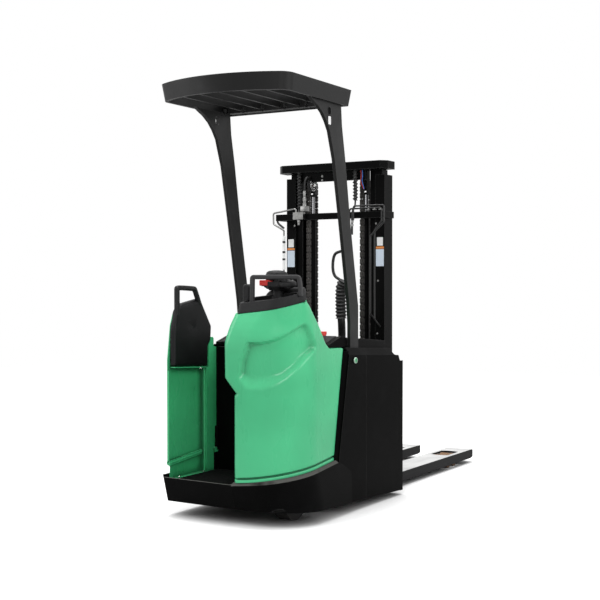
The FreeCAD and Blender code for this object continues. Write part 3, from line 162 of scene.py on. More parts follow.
# %% Finish: a material and its mixtures
class Finish(Graph):
    """A material built round one Principled shader."""

    def __init__(self, name, base, rough=0.5, metal=0.0, **constants):
        self.material = bpy.data.materials.new(name)
        self.material.use_nodes = True
        super().__init__(self.material.node_tree)
        surface = self.node("ShaderNodeBsdfPrincipled")
        self.shader = surface.socket.node
        self.node("ShaderNodeOutputMaterial", {}, {"Surface": surface})
        self.material.diffuse_color = (*base, 1)
        self.set("Base Color", base)
        self.set("Roughness", rough)
        self.set("Metallic", metal)
        for words, value in constants.items():
            self.set(words.replace("_", " ").title().replace("Ior", "IOR"), value)
        self.place = self.node("ShaderNodeTexCoord", output="Object")
        self.facing = self.node("ShaderNodeNewGeometry", output="Normal")

    def set(self, name, value):
        self.feed(self.shader.inputs[name], value)

    def axis(self, index, of=None):
        """One coordinate of a vector: 0, 1 or 2."""
        return self.node("ShaderNodeSeparateXYZ", {}, {0: of or self.place}, index)

    def stretched(self, amounts):
        return self.node("ShaderNodeVectorMath", {"operation": "MULTIPLY"},
                         {0: self.place, 1: amounts})

    def noise(self, scale, detail=2.0, where=None):
        """Cloudy value about 0.5, in patches of about 1/scale metres."""
        return self.node("ShaderNodeTexNoise", {},
                         {"Vector": where or self.place, "Scale": scale, "Detail": detail})

    def cells(self, scale):
        """Distance to the nearest of many scattered points: pores and grain."""
        return self.node("ShaderNodeTexVoronoi", {}, {"Vector": self.place, "Scale": scale})

    def mixed(self, share, first, second):
        """Colour that goes from the first to the second as share goes from 0 to 1."""
        return self.node("ShaderNodeMix", {"data_type": "RGBA"},
                         {0: share, 6: first, 7: second}, 2)

    def bump(self, height, depth):
        """Let a height, in units of depth metres, tilt the surface normal."""
        self.set("Normal", self.node("ShaderNodeBump", {}, {"Height": height, "Distance": depth}))

    def worn_and_lit_edge(self, reach):
        """Above 0 near an edge: how far a softened normal turns away from the true one."""
        soft = self.node("ShaderNodeBevel", {"samples": 4}, {"Radius": reach})
        return 1 - self.node("ShaderNodeVectorMath", {"operation": "DOT_PRODUCT"},
                             {0: soft, 1: self.facing}, "Value")

    def open_air(self, reach, alone=True):
        """1 on open surfaces, less in corners and grooves narrower than reach."""
        return self.node("ShaderNodeAmbientOcclusion", {"samples": 8, "only_local": alone},
                         {"Distance": reach}, "AO")

    def upward(self):
        """1 where the surface faces the ceiling."""
        return self.axis(2, self.facing)


def toned(colour, share):
    return tuple(level * share for level in colour)


print("a finish knows:", ", ".join(word for word in vars(Finish) if word[0] != "_"))

# %% [markdown]
# ## The finishes
# The green moulding is a glossy coloured plastic. Seen closely it has a faint orange-peel ripple,
# broad cloudy changes of gloss where it has been wiped, and a trace of dust on what faces up.
# Grooves and corners see less of the room, so painted shade darkens their colour a little. A
# clear coat over the colour gives the sharp highlight, while the colour below stays soft.

# %% Green gloss: the moulded cover and the steel side panel
DUSTY_GREEN = (0.46, 0.50, 0.46)
GROOVE_WIDTH, COAT_WEIGHT = 0.05, 0.42


def green_gloss(name, colour, depth):
    finish = Finish(name, colour, coat_roughness=0.15, specular_ior_level=0.2)
    wiped = finish.noise(9.0, 4.0, finish.stretched((1.0, 1.0, 0.35)))
    paler_on_top = finish.upward().step(0.75, 1.0) * finish.noise(40.0, 5.0).step(0.45, 0.8) * 0.16
    clouded = finish.mixed(finish.noise(3.0, 3.0).step(0.3, 0.7), toned(colour, 0.90),
                           toned(colour, 1.06))
    # painted shade: the colour darkens in grooves and corners that see less of the room
    painted_groove_shade = finish.mixed(finish.open_air(GROOVE_WIDTH).step(0.55, 0.97), toned(colour, 0.32),
                          clouded)
    finish.set("Base Color", finish.mixed(paler_on_top, painted_groove_shade, DUSTY_GREEN))
    finish.set("Roughness", 0.27 + wiped.step(0.35, 0.75) * 0.03 + paler_on_top * 0.8)
    finish.set("Coat Weight", COAT_WEIGHT - paler_on_top)
    finish.bump(finish.noise(240.0, 1.0) + finish.noise(40.0, 1.0) * 0.12, depth)
    return finish.material


COVER_GREEN = green_gloss("moulded_green", (0.062, 0.475, 0.218), 0.00004)
PANEL_GREEN = green_gloss("painted_green", (0.060, 0.470, 0.198), 0.00006)
print("green finishes:", COVER_GREEN.name, PANEL_GREEN.name)

# %% [markdown]
# The frame is steel under black powder coat. Powder melts into a fine pebbled skin, so the bump
# is a small noise of about a millimetre. Handling leaves paler, smoother patches. Edges are paler:
# the coat wears thin there, and a painted highlight lies along them. What faces up is paler: dust
# settles on ledges, and a painted sheen lies on them too. One function makes all the coated
# blacks, from dull to nearly glossy.

# %% Black powder coat
DUST_AND_SHEEN_GREY = (0.075, 0.074, 0.070)


def powder_coat(name, shade, rough, shine=0.3, top_dust_and_sheen=0.5, edge=0.055, reach=0.005):
    finish = Finish(name, (shade,) * 3, specular_ior_level=shine)
    rubbed = finish.noise(5.0, 5.0).step(0.5, 0.75)
    # upward faces turn paler: settled dust plus a painted sheen
    paler_on_top = finish.upward().step(0.6, 1.0) * finish.noise(11.0, 6.0).step(0.05, 1.0) * top_dust_and_sheen
    coat = finish.mixed(rubbed * 0.6, (shade,) * 3, (shade * 1.7, shade * 1.7, shade * 1.75))
    # edges turn paler: the coat worn thin plus a painted highlight
    edge_wear_and_highlight = finish.mixed(finish.worn_and_lit_edge(reach).step(0.02, 0.25), coat, (edge,) * 3)
    finish.set("Base Color", finish.mixed(paler_on_top, edge_wear_and_highlight, DUST_AND_SHEEN_GREY))
    finish.set("Roughness", rough - rubbed * 0.08 + paler_on_top * 0.5)
    finish.bump(finish.noise(700.0, 2.0), 0.00018)
    return finish.material


BODY_BLACK = powder_coat("body_black", 0.0018, 0.42, 0.02, 0.35, 0.03)
# the tub's rim gets a broad painted sheen on its upward faces, as well as dust
TUB_BLACK = powder_coat("tub_black", 0.0022, 0.42, 0.03, 6.0, 0.02, 0.0012)
MAST_BLACK = powder_coat("mast_black", 0.0025, 0.38, 0.03, 0.2, 0.045)
GUARD_BLACK = powder_coat("guard_black", 0.0095, 0.42, 0.16)
DEEP_BLACK = powder_coat("deep_black", 0.0018, 0.6, 0.015, 0.0, 0.004)
print("coated blacks: 5")

# %% [markdown]
# Moulded plastic parts (console, tiller, handles) have an etched leather-like grain from the
# tool. Voronoi cells a little under a millimetre give that grain. Rubber and the skin of the pad
# are the same idea with coarser cells and less shine.

# %% Grained plastic, pad skin and rubber
def grained_plastic(name, colour, rough=0.5, grain=900.0, depth=0.0002, shine=0.2):
    finish = Finish(name, colour, specular_ior_level=shine)
    cloud = finish.noise(8.0, 4.0).step(0.35, 0.75)
    finish.set("Base Color", finish.mixed(cloud * 0.5, colour, toned(colour, 1.45)))
    finish.set("Roughness", rough + cloud * 0.08)
    finish.bump(finish.cells(grain).step(0.0, 0.6), depth)
    return finish.material


PLASTIC_DARK = grained_plastic("plastic_dark", (0.010, 0.010, 0.0105), 0.46)
PLASTIC_GREY = grained_plastic("plastic_grey", (0.030, 0.030, 0.031), 0.48)
PAD_SKIN = grained_plastic("pad_skin", (0.0055, 0.0055, 0.006), 0.42, 420.0, 0.0003, 0.20)
RUBBER = grained_plastic("rubber_mat", (0.006, 0.006, 0.006), 0.72, 500.0, 0.0003, 0.06)
HOSE_RUBBER = grained_plastic("hose_rubber", (0.010, 0.010, 0.010), 0.5, 1200.0, 0.0001, 0.35)
RED_PLASTIC = grained_plastic("red_plastic", (0.62, 0.030, 0.022), 0.34, 1400.0, 0.00006, 0.45)
print("plastics and rubbers: 6")

# %% [markdown]
# Metals need a clear direction. Rolled and drawn steel shows fine lines along its length, chrome
# is smooth with faint draw marks, zinc plate is cloudy and slightly yellow. A stretched noise
# gives the lines; roughness follows it so that highlights break up.

# %% Metals
GREASE = (0.035, 0.030, 0.026)


def drawn_metal(name, colour, rough, along, streak=0.12, soiled=0.0):
    finish = Finish(name, colour, metal=1.0)
    line = finish.noise(1.0, 4.0, finish.stretched(along))
    soil = finish.noise(18.0, 6.0).step(0.45, 0.75) * soiled
    finish.set("Base Color", finish.mixed(soil, colour, GREASE))
    finish.set("Roughness", rough + (line - 0.5) * streak + soil * 0.35)
    finish.set("Metallic", 1.0 - soil * 0.7)
    finish.bump(line, 0.00006)
    return finish.material


CHAIN_STEEL = drawn_metal("oiled_chain", (0.060, 0.057, 0.054), 0.40, (90, 90, 90), 0.15, 0.6)
ROD_CHROME = drawn_metal("rod_chrome", (0.16, 0.16, 0.165), 0.16, (900, 900, 6), 0.06)
ZINC = drawn_metal("zinc_plate", (0.21, 0.21, 0.205), 0.30, (60, 60, 60), 0.2, 0.25)
BRIGHT_SCREW = drawn_metal("bright_screw", (0.80, 0.80, 0.79), 0.22, (300, 300, 40), 0.1)
print("metals: 4")

# %% [markdown]
# The fork tops are painted pale grey as a painted reflection of the bright surround, while their
# sides keep the black coat. One finish can hold both: the mask is how far the surface faces up,
# broken by long scratches.

# %% Fork blades: coated sides and tops with a painted reflection
SCRATCH_RUN = (160, 2.5, 160)


def fork_finish():
    finish = Finish("fork_paint", (0.012, 0.012, 0.0125), ior=1.18)
    scratch = finish.noise(1.0, 6.0, finish.stretched(SCRATCH_RUN))
    # pale tops: a painted reflection of the bright surround, broken by scratches
    top = finish.upward().step(0.80, 0.97)
    painted_reflection = (top * (0.80 + scratch.step(0.2, 0.8) * 0.2)).least(1.0)
    reflected_grey = finish.mixed(finish.noise(6.0, 5.0).step(0.3, 0.7), (0.43, 0.43, 0.43),
                         (0.55, 0.55, 0.545))
    finish.set("Base Color", finish.mixed(painted_reflection, (0.0035, 0.0035, 0.0037), reflected_grey))
    finish.set("Roughness", 0.32 + scratch * 0.16)
    finish.bump(scratch, 0.00008)
    return finish.material


FORK_PAINT = fork_finish()
print("fork finish:", FORK_PAINT.name)

# %% [markdown]
# Wheels are cast polyurethane: the drive and caster tyres nearly black, the load rollers amber,
# darkened as painted shade because they sit under the forks. The tread is clouded with dirt and
# duller where the dirt lies.

# %% Tyres and rollers
def tyre(name, colour, dirt):
    finish = Finish(name, colour, specular_ior_level=0.35)
    cloud = finish.noise(30.0, 5.0).step(0.4, 0.7)
    finish.set("Base Color", finish.mixed(cloud * 0.6, colour, dirt))
    finish.set("Roughness", 0.42 + cloud * 0.25)
    finish.bump(finish.noise(160.0, 4.0), 0.0004)
    return finish.material


TYRE_BLACK = tyre("tyre_black", (0.010, 0.010, 0.010), (0.045, 0.042, 0.038))
# the amber is darkened as painted shade under the forks
AMBER_IN_PAINTED_SHADE = tyre("amber_tread_painted_shade", (0.14, 0.068, 0.024), (0.06, 0.04, 0.025))
print("treads:", TYRE_BLACK.name, AMBER_IN_PAINTED_SHADE.name)

# %% [markdown]
# Plates, plugs and the insulation of leads are smooth coloured plastic. It is slightly uneven in
# shade, and a fine ripple keeps its highlight from looking like glass.

# %% Blank plates: printed film with nothing on it
def film(name, colour):
    finish = Finish(name, colour, rough=0.38, specular_ior_level=0.4)
    cloud = finish.noise(25.0, 4.0).step(0.35, 0.8)
    finish.set("Base Color", finish.mixed(cloud * 0.35, colour, toned(colour, 0.82)))
    finish.set("Roughness", 0.34 + cloud * 0.12)
    finish.bump(finish.noise(300.0, 2.0), 0.00004)
    return finish.material


WHITE_FILM = film("blank_film", (0.82, 0.82, 0.82))
PALE_FILM = film("pale_blue_film", (0.60, 0.68, 0.78))
ORANGE_FILM = film("orange_film", (0.72, 0.24, 0.05))
GREEN_CORE = film("green_core", (0.03, 0.26, 0.10))
PALE_RING = film("pale_ring", (0.45, 0.62, 0.50))
BLUE_WIRE = film("blue_wire", (0.03, 0.12, 0.45))
RED_WIRE = film("red_wire", (0.45, 0.03, 0.03))
print("films: 7")

# %% [markdown]
# ## Pipes: plated on the left, painted on the right
# One CAD node holds the valve block and all the pipes, but they don't share a finish. The place
# itself can choose: left of the mast's centre the steel is zinc plated, right of it painted black.

# %% Pipe finish by place
def pipe_finish():
    finish = Finish("pipe_finish", (0.5, 0.5, 0.5), specular_ior_level=0.3)
    cloud = finish.noise(60.0, 4.0)
    plated = finish.axis(0).step(0.02, -0.02)
    zinc = finish.mixed(cloud.step(0.3, 0.7), (0.15, 0.15, 0.145), (0.22, 0.22, 0.215))
    finish.set("Base Color", finish.mixed(plated, (0.012, 0.012, 0.012), zinc))
    finish.set("Metallic", plated)
    finish.set("Roughness", 0.26 + cloud * 0.16)
    finish.bump(cloud, 0.0001)
    return finish.material


PIPE_FINISH = pipe_finish()
print("pipe finish has", len(PIPE_FINISH.node_tree.nodes), "nodes")

# %% [markdown]
# ## Dress the CAD parts
# A CAD part whose shape is right stays as it is and only takes a finish, by filling its material
# slot. The table names each node once.

# %% Give each CAD node its finish
DRESS = {
    COVER_GREEN: ("moulded_cover",),
    PANEL_GREEN: ("left_panel",),
    TUB_BLACK: ("base_tub",),
    BODY_BLACK: ("chassis_frame", "cabin_bulkhead", "side_covers", "side_panels", "dash_ramp"),
    DEEP_BLACK: ("battery", "drive_unit", "drive_mount", "caster_fork", "fork_carriage"),
    MAST_BLACK: ("outer_rails", "inner_rails", "inner_head", "inner_foot_tie", "mast_crossbar",
                 "lift_barrels", "battery_hood"),
    GUARD_BLACK: ("guard_posts", "guard_roof", "guard_bars"),
    PLASTIC_DARK: ("console", "tiller_head", "pad_handle", "control_lever"),
    PLASTIC_GREY: ("grab_bar",),
    RUBBER: ("platform_mat",),
    RED_PLASTIC: ("emergency_stop",),
    PAD_SKIN: ("back_pad",),
    CHAIN_STEEL: ("chains_rear", "chains_front", "chain_wraps", "chain_sheaves"),
    ROD_CHROME: ("lift_rods",),
    PIPE_FINISH: ("mast_hydraulics",),
    PALE_RING: ("lock_plug",),
    FORK_PAINT: ("forks", "straddle_legs"),
    TYRE_BLACK: ("drive_wheel", "caster_wheel"),
    AMBER_IN_PAINTED_SHADE: ("load_roller_left_rear", "load_roller_left_front", "load_roller_right_rear",
                  "load_roller_right_front"),
}
for material, nodes in DRESS.items():
    for node in nodes:
        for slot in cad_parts[node].material_slots:
            slot.material = material
dressed = {node for nodes in DRESS.values() for node in nodes}
print("dressed", len(dressed), "nodes; left over:", sorted(set(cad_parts) - dressed))

# %% [markdown]
# ## Making pieces
# New pieces are made in mesh code. This helper turns a bmesh into an object, smooths its faces,
# keeps edges sharper than a given angle crisp, gives it a finish and lets it ride on a body. It
# also hides the CAD node that the piece stands for.

# %% From bmesh to a riding piece
def made_piece(name, mesh_code, finish, body, crisp=38.0, slot=None, stands_for=None):
    bmesh.ops.recalc_face_normals(mesh_code, faces=mesh_code.faces)
    limit = math.radians(crisp)
    for face in mesh_code.faces:
        face.smooth = True
    for edge in mesh_code.edges:
        edge.smooth = len(edge.link_faces) == 2 and edge.calc_face_angle(0.0) < limit
    mesh = bpy.data.meshes.new(name)
    mesh_code.to_mesh(mesh)
    mesh_code.free()
    mesh.materials.append(finish)
    piece = bpy.data.objects.new(name, mesh)
    scene.collection.objects.link(piece)
    if body:
        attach(piece, body)
    if stands_for:
        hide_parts(stands_for)
    return piece


def mm(*values):
    """Millimetres, as drawn, to a Blender point in metres."""
    return Vector(values) / 1000


def box_mm(node):
    """Lowest and highest corner of a CAD part, in millimetres."""
    return [corner * 1000 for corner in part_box(node)]


def joined(mesh_code, rings, capped=True):
    """Quads between neighbouring rings of vertices, and a cap on each end."""
    for one, two in zip(rings, rings[1:]):
        for k in range(len(one)):
            after = (k + 1) % len(one)
            mesh_code.faces.new((one[k], one[after], two[after], two[k]))
    if capped:
        mesh_code.faces.new(rings[0][::-1])
        mesh_code.faces.new(rings[-1])


print("piece helpers ready: 1 m is", mm(1000, 0, 0).x)

# %% [markdown]
# ## The moulded cover
# The green cover is one rotational-style moulding: a straight skirt, a waist, a leaning head and
# a shallow sunk panel that fades out downwards. CAD holds its exact outline with crisp steps.
# A moulding has soft ones, so the skin is drawn again as a fine grid: each row is a rounded
# rectangle at one height, and small offsets along the outward direction press in the panel and
# the groove. Sculpting would also work, but a formula stays exact and can be changed.

# %% Heights and plans of the cover
# height, left x, rear y, front y, right x, radius of the large rear-right corner (mm)
SKIRT = ((224, 41, -1232, -788, 380, 270), (652, 41, -1232, -714, 380, 270),
         (661, 51, -1232, -712, 380, 270), (737, -15, -1234, -699, 380, 270),
         (864, -16, -1235, -676, 380, 268), (869, -16, -1235, -679, 380, 268),
         (872, -16, -1235, -687, 380, 268), (873.5, -16, -1235, -698, 380, 268),
         (874.5, -16, -1235, -806, 380, 268), (876, -16, -1235, -819, 380, 268),
         (880, -16.5, -1234.8, -830, 380, 267.5))
HEAD = ((890, -17, -1234.4, -844, 380, 266), (908, -17.5, -1233, -866, 380, 262),
        (932, -14, -1230.4, -884, 380, 255), (962, -5, -1226, -904, 379, 245),
        (1008, 8, -1216, -938, 377, 225), (1060, 26, -1202, -980, 374, 185),
        (1100, 35, -1193, -1014, 372, 145), (1140, 43, -1185, -1058, 370, 92))


def between(t, a, b, c, d):
    """A share t of the way from b to c on a smooth curve that also knows a and d."""
    slope, bend = (c - a) / 2, (d - a) / 2 + 1.5 * (b - c)
    return b + t * (slope + t * (c - b - slope - bend + t * bend))


def plan_at(z):
    """Left, rear, front, right and corner radius of the cover at a height."""
    if z <= SKIRT[-1][0]:
        for low, high in zip(SKIRT, SKIRT[1:]):
            if z <= high[0]:
                break
        t = max(0.0, (z - low[0]) / (high[0] - low[0]))
        return [a + t * (b - a) for a, b in zip(low[1:], high[1:])]
    rows = (SKIRT[-1],) + HEAD
    last = len(rows) - 2
    index = next((i for i in range(last + 1) if z <= rows[i + 1][0]), last)
    t = min(1.0, (z - rows[index][0]) / (rows[index + 1][0] - rows[index][0]))
    four = (rows[max(index - 1, 0)], rows[index], rows[index + 1], rows[min(index + 2, last + 1)])
    return [between(t, *values) for values in zip(*(row[1:] for row in four))]


print("waist plan", [round(v) for v in plan_at(737)])
print("crown plan", [round(v) for v in plan_at(1136)])

# %% [markdown]
# Each row needs the same number of points, so that rows join into clean quads. The outline is
# split into four corners and four sides with fixed counts; more points go to the big corner,
# because that is where the light bends.

# %% One row of the cover
FRONT_ROUND, REAR_LEFT_ROUND = 22, 40


def outline_points(plan):
    """Points round the cover: (x, y, outward x, outward y, run along the rear from x = 0)."""
    left, rear, front, right, corner = plan
    points = []

    def side(x0, y0, x1, y1, count, out_x, out_y):
        for step in range(1, count):
            t = step / count
            points.append((x0 + t * (x1 - x0), y0 + t * (y1 - y0), out_x, out_y))

    def round_corner(x, y, radius, start, count):
        for step in range(count + 1):
            angle = math.radians(start + 90 * step / count)
            points.append((x + radius * math.cos(angle), y + radius * math.sin(angle),
                           math.cos(angle), math.sin(angle)))

    round_corner(left + FRONT_ROUND, front - FRONT_ROUND, FRONT_ROUND, 90, 5)
    side(left, front - FRONT_ROUND, left, rear + REAR_LEFT_ROUND, 22, -1, 0)
    round_corner(left + REAR_LEFT_ROUND, rear + REAR_LEFT_ROUND, REAR_LEFT_ROUND, 180, 8)
    side(left + REAR_LEFT_ROUND, rear, right - corner, rear, 44, 0, -1)
    round_corner(right - corner, rear + corner, corner, 270, 56)
    side(right, rear + corner, right, front - FRONT_ROUND, 34, 1, 0)
    round_corner(right - FRONT_ROUND, front - FRONT_ROUND, FRONT_ROUND, 0, 5)
    side(right - FRONT_ROUND, front, left + FRONT_ROUND, front, 14, 0, 1)
    bend = right - corner
    full = []
    for x, y, out_x, out_y in points:
        angle = math.atan2(out_x, -out_y)
        run = x if angle <= 0 else bend + corner * angle
        if angle > math.pi / 2 - 0.001:
            run = bend + corner * math.pi / 2 + (y - rear - corner)
        full.append((x, y, out_x, out_y, run))
    return full


print("points in a row:", len(outline_points(plan_at(700))))

# %% [markdown]
# The same outline is asked for many times while the skin is settled, so each one that has been
# worked out is kept by its height.

# %% Outlines kept by height
drawn_outlines = {}


def outline_at(z):
    """The outline at a height, worked out once for each tenth of a millimetre."""
    key = round(z, 1)
    if key not in drawn_outlines:
        drawn_outlines[key] = outline_points(plan_at(key))
    return drawn_outlines[key]


ROW_POINTS = len(outline_at(700))
print("outlines kept so far:", len(drawn_outlines))

# %% [markdown]
# The sunk panel has a crisp upper edge and a broad ramp below. Two outlines describe it: the
# floor, fully sunk, and the ramp round it, where the depth grows from nothing. At each point the
# two signed distances give a share, and a smooth curve of that share gives the depth.

# %% Depth of the sunk panel and of the groove
# outlines on the unrolled skin: run along the rear, height (mm)
PANEL_FLOOR = ((147, 907), (208, 905), (277, 916), (336, 939), (399, 974), (443, 990), (461, 969),
              (481, 934), (497, 895), (427, 856), (358, 803), (317, 775), (247, 755), (187, 754),
              (145, 747), (105, 767), (111, 827))
PANEL_RAMP = ((135, 920), (207, 920), (276, 938), (335, 964), (397, 1000), (433, 1017), (470, 992),
             (500, 943), (526, 897), (514, 872), (452, 833), (380, 776), (316, 728), (276, 706),
             (216, 686), (127, 687), (81, 736), (90, 816))
PANEL_DEPTH, SHARPEST_RAMP, RAMP_OVERLAP = 25.0, 12.0, 3
PANEL_RUNS, PANEL_HEIGHTS = (60, 620), (660, 1040)
GROOVE_DEPTH, GROOVE_HEIGHT, GROOVE_HALF, GROOVE_START, GROOVE_FADE = 11.0, 19, 4.4, 30, 60


def inside_by(line, u, v):
    """Distance to a closed outline, above 0 inside it and below 0 outside."""
    nearest, inside = 1e9, False
    for (a, b), (c, d) in zip(line, line[1:] + line[:1]):
        along = (c - a) ** 2 + (d - b) ** 2
        t = min(1.0, max(0.0, ((u - a) * (c - a) + (v - b) * (d - b)) / along))
        nearest = min(nearest, math.hypot(u - a - t * (c - a), v - b - t * (d - b)))
        if (b > v) != (d > v) and u < (c - a) * (v - b) / (d - b) + a:
            inside = not inside
    return nearest if inside else -nearest


def eased_share(t):
    t = min(1.0, max(0.0, t))
    return t * t * (3 - 2 * t)


def sunk(run, z):
    """How far the skin is pressed in at this place (mm)."""
    if not (PANEL_RUNS[0] < run < PANEL_RUNS[1] and PANEL_HEIGHTS[0] < z < PANEL_HEIGHTS[1]):
        return 0.0
    floor = inside_by(PANEL_FLOOR, run, z)
    ramp = max(floor, inside_by(PANEL_RAMP, run, z))
    return PANEL_DEPTH * eased_share((ramp + RAMP_OVERLAP) / max(ramp - floor, SHARPEST_RAMP))


def grooved(run, height):
    """A drip groove just above the bottom edge, fading out towards the left."""
    bell = math.exp(-((height - GROOVE_HEIGHT) / GROOVE_HALF) ** 2)
    return GROOVE_DEPTH * bell * eased_share((run - GROOVE_START) / GROOVE_FADE)


floor_runs = [run for run, _ in PANEL_FLOOR]
print("panel floor spans", max(floor_runs) - min(floor_runs), "mm of skin")

# %% [markdown]
# The cover stands on the sloping rim of the tub and is cut off along the slope of the console, so
# its lowest and highest rows are planes that lean. Rows near the foot follow the rim, the next
# ones rise evenly, and rows above are level. They lie closest where the shape turns fastest.

# %% Rows of the cover
FOOT_ROWS = (0, 3, 7, 10, 12, 14, 16, 18, 20, 22, 24, 26, 28, 31, 36, 46, 60)
WAIST_ROWS = (650, 656, 661, 666)
LEVEL_FROM, RISE_STEPS = 400, 12


def rim_height(x, y):
    """Foot of the cover, 13 mm above the tub's rim, which climbs to the front and right."""
    return 195 + 0.10 * x + 0.11 * (y + 1250) + 13


def head_height(x, y):
    """Upper edge of the cover, where the console's slope cuts it off."""
    return 1058 + 0.104 * (x - 50) + 0.22 * (y + 1195)


def cover_rows():
    """How each row finds its height: above the foot, on the rise, or level."""
    level = [LEVEL_FROM + 18 * step for step in range(14)] + list(WAIST_ROWS)
    level += [676 + 8 * step for step in range(24)] + [row[0] for row in SKIRT[4:]]
    level += [886 + 7 * step for step in range(37)]
    return ([("low", height) for height in FOOT_ROWS]
            + [("rise", step / RISE_STEPS) for step in range(1, RISE_STEPS)]
            + [("level", z) for z in level])


print("rows in the cover:", len(cover_rows()))

# %% [markdown]
# A point's height depends on where it stands, and where it stands depends on its height. A guess,
# a look at the outline and a better guess settle both in a few tries. Points that land on one
# spot are merged, and a Solidify modifier gives the skin its wall, so the inside is there too.

# %% Build the cover skin
FIRST_GUESS, TRIES, WALL = 300.0, 4, 0.006
MERGE, SLIVER = 0.0004, 0.00005


def cover_skin():
    skin = bmesh.new()
    grid = []
    for kind, amount in cover_rows():
        line = []
        for column in range(ROW_POINTS):
            z = FIRST_GUESS
            for _ in range(TRIES):
                x, y, out_x, out_y, run = outline_at(z)[column]
                foot, top = rim_height(x, y), head_height(x, y)
                if kind == "low":
                    z = foot + amount
                elif kind == "rise":
                    z = foot + FOOT_ROWS[-1] + amount * (LEVEL_FROM - foot - FOOT_ROWS[-1])
                else:
                    z = min(amount, top)
            x, y, out_x, out_y, run = outline_at(z)[column]
            depth = sunk(run, z)
            if kind == "low":
                depth += grooved(run, z - rim_height(x, y))
            line.append(skin.verts.new(mm(x - depth * out_x, y - depth * out_y, z)))
        grid.append(line)
    joined(skin, grid, capped=False)
    bmesh.ops.remove_doubles(skin, verts=skin.verts, dist=MERGE)
    bmesh.ops.dissolve_degenerate(skin, edges=skin.edges, dist=SLIVER)
    return skin


cover = made_piece("cover_moulding", cover_skin(), COVER_GREEN, "chassis", 32, "cover_green",
                   "moulded_cover")
wall = cover.modifiers.new("wall", "SOLIDIFY")
wall.thickness = WALL
wall.offset = -1.0
print("cover faces:", len(cover.data.polygons))

# %% [markdown]
# ## Four small tools
# Most of the small parts are one of four kinds: turned on an axis (bolts, sheaves, fittings),
# run along a line (hoses, springs), cut from plate (labels, links), or a bevelled block. Each
# kind gets one function that adds its shape to a bmesh, so many can share one piece.

# %% Turned and cut shapes
RIGHT, BACK, UP = (1, 0, 0), (0, -1, 0), (0, 0, 1)
NEEDLE = 1e-5  # least radius (m), so that a point still has a ring


def turned(mesh_code, profile, centre, axis, sides=24):
    """Spin (radius, distance along the axis) pairs round an axis through centre."""
    axis = Vector(axis).normalized()
    across = axis.orthogonal().normalized()
    rings = []
    for radius, along in profile:
        ring = []
        for k in range(sides):
            out = Matrix.Rotation(2 * math.pi * k / sides, 3, axis) @ across
            spot = Vector(centre) + axis * along + out * max(radius, NEEDLE)
            ring.append(mesh_code.verts.new(spot))
        rings.append(ring)
    joined(mesh_code, rings)


def slab(mesh_code, outline, normal, thick):
    """A plate: outline points in order round its back face, thickened along normal."""
    push = Vector(normal).normalized() * thick
    joined(mesh_code, [[mesh_code.verts.new(point) for point in outline],
                       [mesh_code.verts.new(Vector(point) + push) for point in outline]])


print("main directions:", RIGHT, BACK, UP)

# %% [markdown]
# Nothing on a real machine has a perfectly sharp corner, and a softened one catches a line of
# light. So plates start from a rounded outline, and blocks are cubes with bevelled edges.

# %% Rounded outlines and blocks
def rounded(width, height, radius, steps=3):
    """Outline of a rounded rectangle about the origin."""
    points = []
    for sx, sy, start in ((1, 1, 0), (-1, 1, 90), (-1, -1, 180), (1, -1, 270)):
        for step in range(steps + 1):
            angle = math.radians(start + 90 * step / steps)
            points.append((sx * (width / 2 - radius) + radius * math.cos(angle),
                           sy * (height / 2 - radius) + radius * math.sin(angle)))
    return points


def block(mesh_code, low, high, edge):
    """A box between two corners with bevelled edges."""
    low, high = Vector(low), Vector(high)
    made = bmesh.ops.create_cube(mesh_code, size=1.0)["verts"]
    middle, size = (low + high) / 2, high - low
    for vert in made:
        vert.co = Vector(a * b for a, b in zip(vert.co, size)) + middle
    edges = list({e for v in made for e in v.link_edges})
    bmesh.ops.bevel(mesh_code, geom=edges, offset=edge, segments=2, affect="EDGES", profile=0.6)


print("a rounded outline has", len(rounded(2, 1, 0.1)), "points")

# %% [markdown]
# A hose is easiest to steer with a few points. Blender's own NURBS curve gives the smooth line
# between them. Its own points bunch up in the bends, so the line is walked once more and marked
# off in even steps.

# %% Smooth lines
def smooth_line(points, spacing=0.004):
    """Even points along the NURBS curve that a few points steer."""
    curve = bpy.data.curves.new("line", "CURVE")
    curve.dimensions = "3D"
    curve.resolution_u = 24
    spline = curve.splines.new("NURBS")
    spline.points.add(len(points) - 1)
    for place, point in zip(spline.points, points):
        place.co = (*point, 1)
    spline.order_u = 3
    spline.use_endpoint_u = True
    holder = bpy.data.objects.new("line", curve)
    raw = [v.co.copy() for v in bpy.data.meshes.new_from_object(holder).vertices]
    bpy.data.objects.remove(holder)
    length = sum((b - a).length for a, b in zip(raw, raw[1:]))
    count = max(2, round(length / spacing))
    even, walked, k = [raw[0]], 0.0, 0
    for step in range(1, count):
        target = length * step / count
        while walked + (raw[k + 1] - raw[k]).length < target:
            walked += (raw[k + 1] - raw[k]).length
            k += 1
        even.append(raw[k].lerp(raw[k + 1], (target - walked) / (raw[k + 1] - raw[k]).length))
    return even + [raw[-1]]


def bent(points, spacing=0.004):
    """A smooth line through the air, steered by points in millimetres."""
    return smooth_line([mm(*point) for point in points], spacing)


print("a straight 100 mm line has", len(bent(((0, 0, 0), (50, 0, 0), (100, 0, 0)))), "points")

# %% [markdown]
# A skin is a ring of vertices at every point of a line, turned from one to the next with as little
# twist as possible. Its radius is a number or a rule of distance and angle, and that one idea
# gives plain hoses, spiral guards, corrugated sleeves and square bars.

